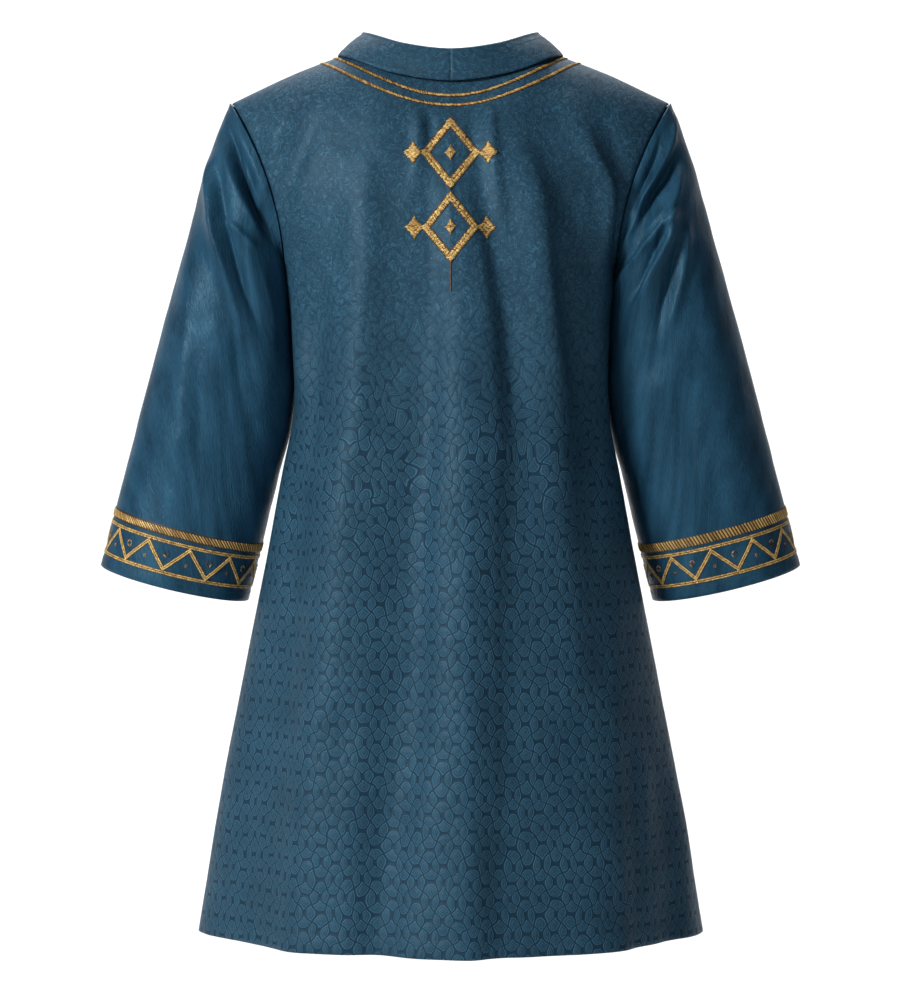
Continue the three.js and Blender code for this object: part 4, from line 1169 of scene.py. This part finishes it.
class TUNIC_OT_diamonds(bpy.types.Operator):
    """Sew the two diamonds with their ears and stars on the upper back"""

    bl_idname = "tunic.diamonds"
    bl_label = "Diamonds"

    def execute(self, context):
        thread = context.scene.tunic_thread
        tree = surface_of("back_cloth")
        pitch = thread.satin_pitch / MM
        for k, (name, middle, half_width, half_height, ear_x) in enumerate(DIAMONDS):
            needle = Needle(f"diamond_{name}_thread", 31 + k)
            corners = [(0, half_height), (half_width, 0), (0, -half_height), (-half_width, 0)]
            width = (1 - DIAMOND_OPENING) * half_width * half_height / math.hypot(half_width, half_height)
            for a, b in zip(corners, corners[1:] + corners[:1]):
                self.side(needle, tree, middle, a, b, width, pitch)
            for side in (-1, 1):
                self.ear(needle, tree, side * ear_x, middle, pitch)
            needle.done(embroidery(thread), [f"diamond_{name}"])

            needle = Needle(f"star_{name}_thread", 41 + k)
            self.star(needle, tree, middle)
            needle.done(embroidery(thread), [f"star_{name}"])
        return {"FINISHED"}

    def side(self, needle, tree, middle, a, b, width, pitch):
        """One side of a diamond, from corner a to corner b: short gold strands between two brown outlines."""

        def line(reach, shares):
            return [
                back_spot(
                    tree,
                    (a[0] + (b[0] - a[0]) * t) * reach,
                    middle + (a[1] + (b[1] - a[1]) * t) * reach,
                )
                for t in shares
            ]

        inset = (1 + DIAMOND_OPENING) / 2
        spots = line(inset, np.linspace(-0.08, 1.08, 16))
        needle.strip(spots, width + 0.8)
        for where, normal, along in evenly(spots, pitch):
            side = along.cross(normal)
            # Each place across the band is filled by one or two short strands.
            parts = 2 if needle.chance.random() < 0.7 else 1
            for part in range(parts):
                offset = 0 if parts == 1 else (part - 0.5) * width * 0.48
                offset += needle.between(-0.25, 0.25)
                spot = where + side * (offset * MM)
                tone = needle.tone(0.25, 1.1, 0.12, -0.2)
                way = side + along * needle.between(-0.5, 0.5)
                length = width / parts * needle.between(0.95, 1.15)
                thick = needle.between(0.95, 1.3)
                needle.sew(spot, way, normal, length, thick, 0.9, lift=0.55, tone=tone)
        for edge in (-1, 1):
            reach = inset + edge * (1 - DIAMOND_OPENING) / 2 * 1.05
            needle.run(line(reach, np.linspace(0, 1, 14)), "diamond outline", material=BROWN_SLOT)

    def ear(self, needle, tree, x, middle, pitch):
        """A small four-sided motif with hollow sides, beside a diamond."""
        count = round(2 * EAR_HALF_HEIGHT / pitch)
        for i in range(count + 1):
            share = 2 * i / count - 1
            half = hollow_ear(abs(share))
            if half < 0.4:
                continue
            z = middle + share * EAR_HALF_HEIGHT
            where, normal = back_spot(tree, x, z)
            needle.sew(where, Vector((1, 0, 0)), normal, 2 * half, 1.3, 0.8, lift=0.25, tone=0.3)
            parts = max(1, round(half / 2.2))
            for part in range(parts):
                centre = x + ((part + 0.5) / parts * 2 - 1) * half + needle.between(-0.3, 0.3)
                where, normal = back_spot(tree, centre, z)
                tone = needle.tone(0.3, 1, 0.1, 0.0)
                way = Vector((1, 0, needle.between(-0.6, 0.6)))
                thick = needle.between(0.95, 1.3)
                needle.sew(where, way, normal, 2.3 * half / parts, thick, 0.9, lift=0.5, tone=tone)
        for sx, sz in ((-1, -1), (-1, 1), (1, -1), (1, 1)):
            outline = [
                back_spot(tree, x + sx * (hollow_ear(t) + 0.2), middle + sz * t * EAR_HALF_HEIGHT)
                for t in np.linspace(0, 1, 9)
            ]
            needle.run(outline, "ear outline", material=BROWN_SLOT)

    def star(self, needle, tree, middle):
        """A four-pointed star: level strands, then rays over them, and a brown knot in its middle."""
        for i in range(17):
            share = (i - 8) / 8
            half = STAR_HALF_WIDTH * max(0.08, hollow_star(abs(share)))
            where, normal = back_spot(tree, 0, middle + share * STAR_HALF_HEIGHT)
            needle.sew(where, Vector((1, 0, 0.15)), normal, 2 * half + 0.5, 1.0, 0.8, lift=0.3)
        for turn in range(16):
            angle = turn * math.pi / 8
            reach = (1.0, 0.6, 0.56, 0.6)[turn % 4]
            x, z = math.sin(angle) * STAR_HALF_WIDTH * reach, math.cos(angle) * STAR_HALF_HEIGHT * reach
            where, normal = back_spot(tree, x / 2, middle + z / 2)
            needle.sew(where, Vector((x, 0, z)), normal, math.hypot(x, z) * 1.05, 1.25, 0.9, lift=0.55)
        needle.knot(back_spot(tree, 0, middle), (0.6, 1.7, 2.8), 1.8, 0.8, 0.6, material=BROWN_SLOT, lift=1.0)


def cuff_spots(tree, side, height):
    """Spots round a sleeve at a height over the cuff's edge, from the underarm over the back. Each facing is
    averaged over its neighbours."""
    rounds = np.linspace(0, 1, CUFF_STEPS + 1)
    points, _ = sleeve(rounds, np.full_like(rounds, 1 - height / NEAR_CUFF))
    points[:, 0] *= side
    axis = Vector(points[:-1].mean(0)) * MM
    spots = []
    for place in points:
        plain = Vector(place) * MM
        spots.append(nearest_spot(tree, plain, (plain - axis).normalized()))
    rounded = []
    for i, (where, _) in enumerate(spots):
        total = Vector()
        for k in range(-3, 4):
            total += spots[(i + k) % CUFF_STEPS][1]
        rounded.append((where, total.normalized()))
    return rounded


class TUNIC_OT_cuffs(bpy.types.Operator):
    """Sew the rope band, lines, zigzag and lozenges round both cuffs"""

    bl_idname = "tunic.cuffs"
    bl_label = "Cuff embroidery"

    def execute(self, context):
        thread = context.scene.tunic_thread
        for side, label in SIDES:
            tree = surface_of(f"sleeve_cloth_{label}")
            self.rope(thread, tree, side, label)
            for name, low, high in CUFF_LINES:
                self.line(thread, tree, side, label, name, low, high)
            self.zigzag(thread, tree, side, label)
        return {"FINISHED"}

    def rope(self, thread, tree, side, label):
        """Fat slanted strands, each of three threads whose outer two are painted darker as shade, over a band
        of brown thread that is in part painted shade.
        """
        needle = Needle(f"rope_thread_{label}", 51 + side)
        spots = cuff_spots(tree, side, sum(ROPE) / 2)
        width = ROPE[1] - ROPE[0]
        needle.strip(spots, width - 0.8)
        pitch = thread.rope_pitch / MM
        for where, normal, way in evenly(spots, pitch):
            # The strands' tops lean to the left as seen from outside.
            up = upwards(normal)
            along = up.normalized() + normal.cross(up).normalized() * ROPE_LEAN
            tone = needle.between(0.35, 0.9)
            for k in (-1, 0, 1):
                middle = where + way * (k * pitch * 0.18 * MM)
                length = width * 1.04 * needle.between(0.95, 1.04)
                # The two outer threads of each strand are made 0.2 darker than the middle one: painted shade
                # beside the raised middle thread.
                tone_with_painted_shade = tone + needle.between(-0.15, 0.2) - (k != 0) * 0.2
                thick, rise = pitch * 0.25, (k == 0) * 0.25
                needle.sew(middle, along, normal, length, thick, 0.9 + rise, lift=0.3 + rise, tone=tone_with_painted_shade)
        needle.done(embroidery(thread), [f"cuff_rope_{label}"])

    def line(self, thread, tree, side, label, name, low, high):
        """A narrow line of two rows of stitches over a band of brown thread, in part painted shade, that
        shows between them.
        """
        needle = Needle(f"line_{name}_thread_{label}", 61 + side + int(low))
        middle = (low + high) / 2
        needle.strip(cuff_spots(tree, side, middle), high - low + 1.5)
        for row in (-1, 1):
            spots = cuff_spots(tree, side, middle + row * (high - low) * 0.29)
            for where, normal, way in evenly(spots, 1.9):
                lean = way.cross(normal) * needle.between(-0.35, 0.35)
                thick, tone = needle.between(1.35, 1.75), needle.between(0.2, 0.95)
                needle.sew(where, way + lean, normal, 2.4, thick, 0.9, lift=0.35, tone=tone)
        needle.done(embroidery(thread), [f"cuff_line_{name}_{label}"])

    def zigzag(self, thread, tree, side, label):
        """Two rows of stitches up and down between the lines, and a lozenge in each triangle."""
        needle = Needle(f"zigzag_thread_{label}", 81 + side)
        levels = {}

        def at(share, height):
            """The spot at a share of the way round, at a height rounded to 0.2 mm."""
            key = round(height * 5) / 5
            if key not in levels:
                levels[key] = cuff_spots(tree, side, key)
            place = (share % 1) * CUFF_STEPS
            i = int(place)
            (a, na), (b, nb) = levels[key][i], levels[key][i + 1]
            return a.lerp(b, place - i), na.lerp(nb, place - i).normalized()

        low, high = ZIGZAG_LOW + 1, ZIGZAG_HIGH - 1
        for leg in range(2 * ZIGZAG_WAVES):
            start = (leg - 2 * ZIGZAG_PHASE) / 2 / ZIGZAG_WAVES
            rising = leg % 2 == 1
            line = [
                at(start + t / 2 / ZIGZAG_WAVES, low + (high - low) * (t if rising else 1 - t))
                for t in np.linspace(-0.04, 1.04, 12)
            ]
            needle.strip(line, ZIGZAG_BAND + 0.5)
            for row in (-1, 1):
                for where, normal, way in evenly(line, 1.7):
                    across = way.cross(normal)
                    where = where + across * (row * ZIGZAG_BAND * 0.21 * MM)
                    way = way + across * needle.between(-0.4, 0.4)
                    thick, tone = needle.between(1.45, 1.85), needle.between(0.3, 1.0)
                    needle.sew(where, way, normal, 2.3, thick, 0.9, lift=0.4, tone=tone)
            # One lozenge between this leg and the next, larger where the triangle opens upwards.
            size, width, height = LOZENGES[rising]
            where, normal = at(start + 1 / 2 / ZIGZAG_WAVES, height)
            up = upwards(normal).normalized()
            left = up.cross(normal)
            up = up * LOZENGE_STRETCH
            for a, b in ((up, left), (left, -up), (-up, -left), (-left, up)):
                tone = needle.between(0.0, 0.6)
                brown_one = needle.chance.random() >= 0.7
                needle.sew(
                    where + (a + b) * (size * MM), a - b, normal, size * 2.6, width, 0.8,
                    lift=0.35, tone=tone, material=int(brown_one),
                )
            needle.sew(where, left, normal, 1.3, 0.9, 0.7, material=BROWN_SLOT, lift=0.2)
        needle.done(embroidery(thread), [f"cuff_zigzag_{label}"])


class TUNIC_OT_sewing(bpy.types.Operator):
    """Sew the visible seams' stitches: hem, cuffs, collar, centre back and the line under the diamonds"""

    bl_idname = "tunic.sewing"
    bl_label = "Sewing"

    def execute(self, context):
        thread = context.scene.tunic_thread
        back, front = surface_of("back_cloth"), surface_of("front_cloth")
        needle = Needle("hem_stitching", 91)
        for tree, way in ((back, 1), (front, -1)):
            spots = []
            for x in np.linspace(-226, 226, 130):
                start = Vector((x * MM, -way * 0.5, (HEM_Z + HEM_TURN_UP) * MM))
                spots.append(cast(tree, start, Vector((0, way, 0))))
            needle.run(spots, "hem")
        needle.done(sewing(thread), [])

        for side, label in SIDES:
            needle = Needle(f"cuff_stitching_{label}", 95 + side)
            spots = cuff_spots(surface_of(f"sleeve_cloth_{label}"), side, CUFF_TURN_UP)
            needle.run(spots, "cuff edge")
            needle.done(sewing(thread), [])

            needle = Needle(f"collar_stitching_{label}", 98 + side)
            points = collar_grid(side, *COLLAR_GRID)
            tree = surface_of(f"collar_cloth_{label}")
            for row in (17, len(points) - 4):
                spots = [
                    nearest_spot(tree, Vector((x, y, z)) * MM, Vector((x, y - 20, 25)))
                    for x, y, z in points[row, 1:]
                ]
                needle.run(spots, "collar edge")
            needle.done(sewing(thread), [])

        needle = Needle("centre_back_stitching", 103)
        spots = [back_spot(back, 0, z) for z in np.linspace(-64, -208, 60)]
        needle.run(spots, "centre back", tone=1.0)
        needle.done(sewing(thread), [])

        needle = Needle("brown_stem_thread", 104)
        spots = [back_spot(back, 0.25, z) for z in np.linspace(-209.5, -235, 14)]
        for where, normal, along in evenly(spots, 1.5):
            needle.sew(where, along, normal, 2.1, 1.25, 0.9, lift=0.3, tone=needle.between(0.5, 1.2))
        needle.knot(back_spot(back, 0, -142.2), (0.3, 1.3, 2.4), 2.2, 1.0, 0.8, lift=0.3, tone=0)
        needle.done(embroidery(thread)[1:], [])
        return {"FINISHED"}


GARMENT, BACKDROP = (0, 0, -0.42), (0, 4.2, -0.4)  # what the lamps point at
LAMPS = (
    ("key", (-2.2, -2.25, 0.7), GARMENT, 0.8, 101, "#FFFDF8"),
    ("fill", (1.6, -3.2, 0.2), GARMENT, 2.2, 8, "#F4F8FF"),
    ("top", (-0.4, -0.9, 2.2), GARMENT, 1.2, 3, "#FFFFFF"),
    ("backdrop", (0, 1.6, 2.6), BACKDROP, 3.0, 160, "#FFFFFF"),
)  # place, aim, size, watts, colour
IMAGE_HEIGHT, PIXEL = 993, 0.95  # pixels, and millimetres a pixel in the plane of the shoulder seams
SENSOR = 36
FLOOR_LEVEL, FLOOR_FRONT, FLOOR_DEPTH, FLOOR_BEND, FLOOR_LENGTH = -1.5, -3.5, 5.5, 2.0, 12.0  # metres


class TUNIC_OT_stage(bpy.types.Operator):
    """Set up the floor, the soft light and the camera"""

    bl_idname = "tunic.stage"
    bl_label = "Stage"

    def execute(self, context):
        settings = context.scene.tunic_stage
        bm = bmesh.new()
        bmesh.ops.create_grid(bm, x_segments=1, y_segments=24, size=1)
        for vert in bm.verts:
            # A floor that rises in one smooth curve into a wall behind the garment.
            path = (vert.co.y + 1) / 2 * FLOOR_LENGTH
            angle = min(max(0, path - FLOOR_DEPTH) / FLOOR_BEND, math.pi / 2)
            y = min(path, FLOOR_DEPTH) + FLOOR_FRONT + FLOOR_BEND * math.sin(angle)
            wall = max(0, path - FLOOR_DEPTH - FLOOR_BEND * math.pi / 2)
            vert.co = Vector((vert.co.x * 7, y, FLOOR_BEND * (1 - math.cos(angle)) + wall + FLOOR_LEVEL))
        material = plain_material("Painted floor, matt", settings.floor, 0.8, 3.0)
        floor = link("floor_and_backdrop", to_mesh(bm, "floor_and_backdrop"), [material])

        for name, place, aim, size, power, tint in LAMPS:
            lamp = bpy.data.lights.new(name, "AREA")
            lamp.shape = "DISK"
            lamp.size = size
            lamp.energy = power
            lamp.color = linear(tint)[:3]
            made = link(name, lamp)
            made.location = place
            made.rotation_euler = (Vector(aim) - Vector(place)).to_track_quat("-Z", "Y").to_euler()

        world = bpy.data.worlds.new("Soft room light")
        world.use_nodes = True
        background = world.node_tree.nodes["Background"]
        background.inputs["Color"].default_value = linear("#E9EEF4")
        background.inputs["Strength"].default_value = 0.09
        context.scene.world = world

        camera = bpy.data.cameras.new("camera")
        camera.sensor_width = SENSOR
        camera.lens = SENSOR * settings.distance / (IMAGE_HEIGHT * PIXEL * MM)
        camera.clip_end = 50
        made = link("camera", camera)
        made.location = (-0.0005, -settings.distance, -0.4223)
        made.rotation_euler = (math.pi / 2, 0, 0)
        context.scene.camera = made
        context.scene.view_settings.view_transform = "Standard"
        return {"FINISHED"}


PIECES = (
    TUNIC_OT_back, TUNIC_OT_front, TUNIC_OT_sleeves, TUNIC_OT_collar, TUNIC_OT_braids, TUNIC_OT_diamonds,
    TUNIC_OT_cuffs, TUNIC_OT_sewing, TUNIC_OT_stage,
)
GROUPS = {"tunic_cloth": TunicCloth, "tunic_thread": TunicThread, "tunic_stage": TunicStage}


class TUNIC_PT_panel(bpy.types.Panel):
    """Lists the pieces of the tunic and their settings"""

    bl_label = "Tunic"
    bl_idname = "TUNIC_PT_panel"
    bl_space_type = "VIEW_3D"
    bl_region_type = "UI"
    bl_category = "Tunic"

    def draw(self, context):
        for piece in PIECES:
            self.layout.operator(piece.bl_idname)
        for group in GROUPS:
            box, settings = self.layout.box(), getattr(context.scene, group)
            for name in settings.__annotations__:
                box.prop(settings, name)


def register():
    for made in (*GROUPS.values(), *PIECES, TUNIC_PT_panel):
        bpy.utils.register_class(made)
    for name, group in GROUPS.items():
        setattr(bpy.types.Scene, name, bpy.props.PointerProperty(type=group))


def unregister():
    for name in GROUPS:
        delattr(bpy.types.Scene, name)
    for made in (TUNIC_PT_panel, *reversed(PIECES), *GROUPS.values()):
        bpy.utils.unregister_class(made)


def main():
    register()
    for piece in PIECES:
        group, name = piece.bl_idname.split(".")
        getattr(getattr(bpy.ops, group), name)()


if __name__ == "__main__":
    main()
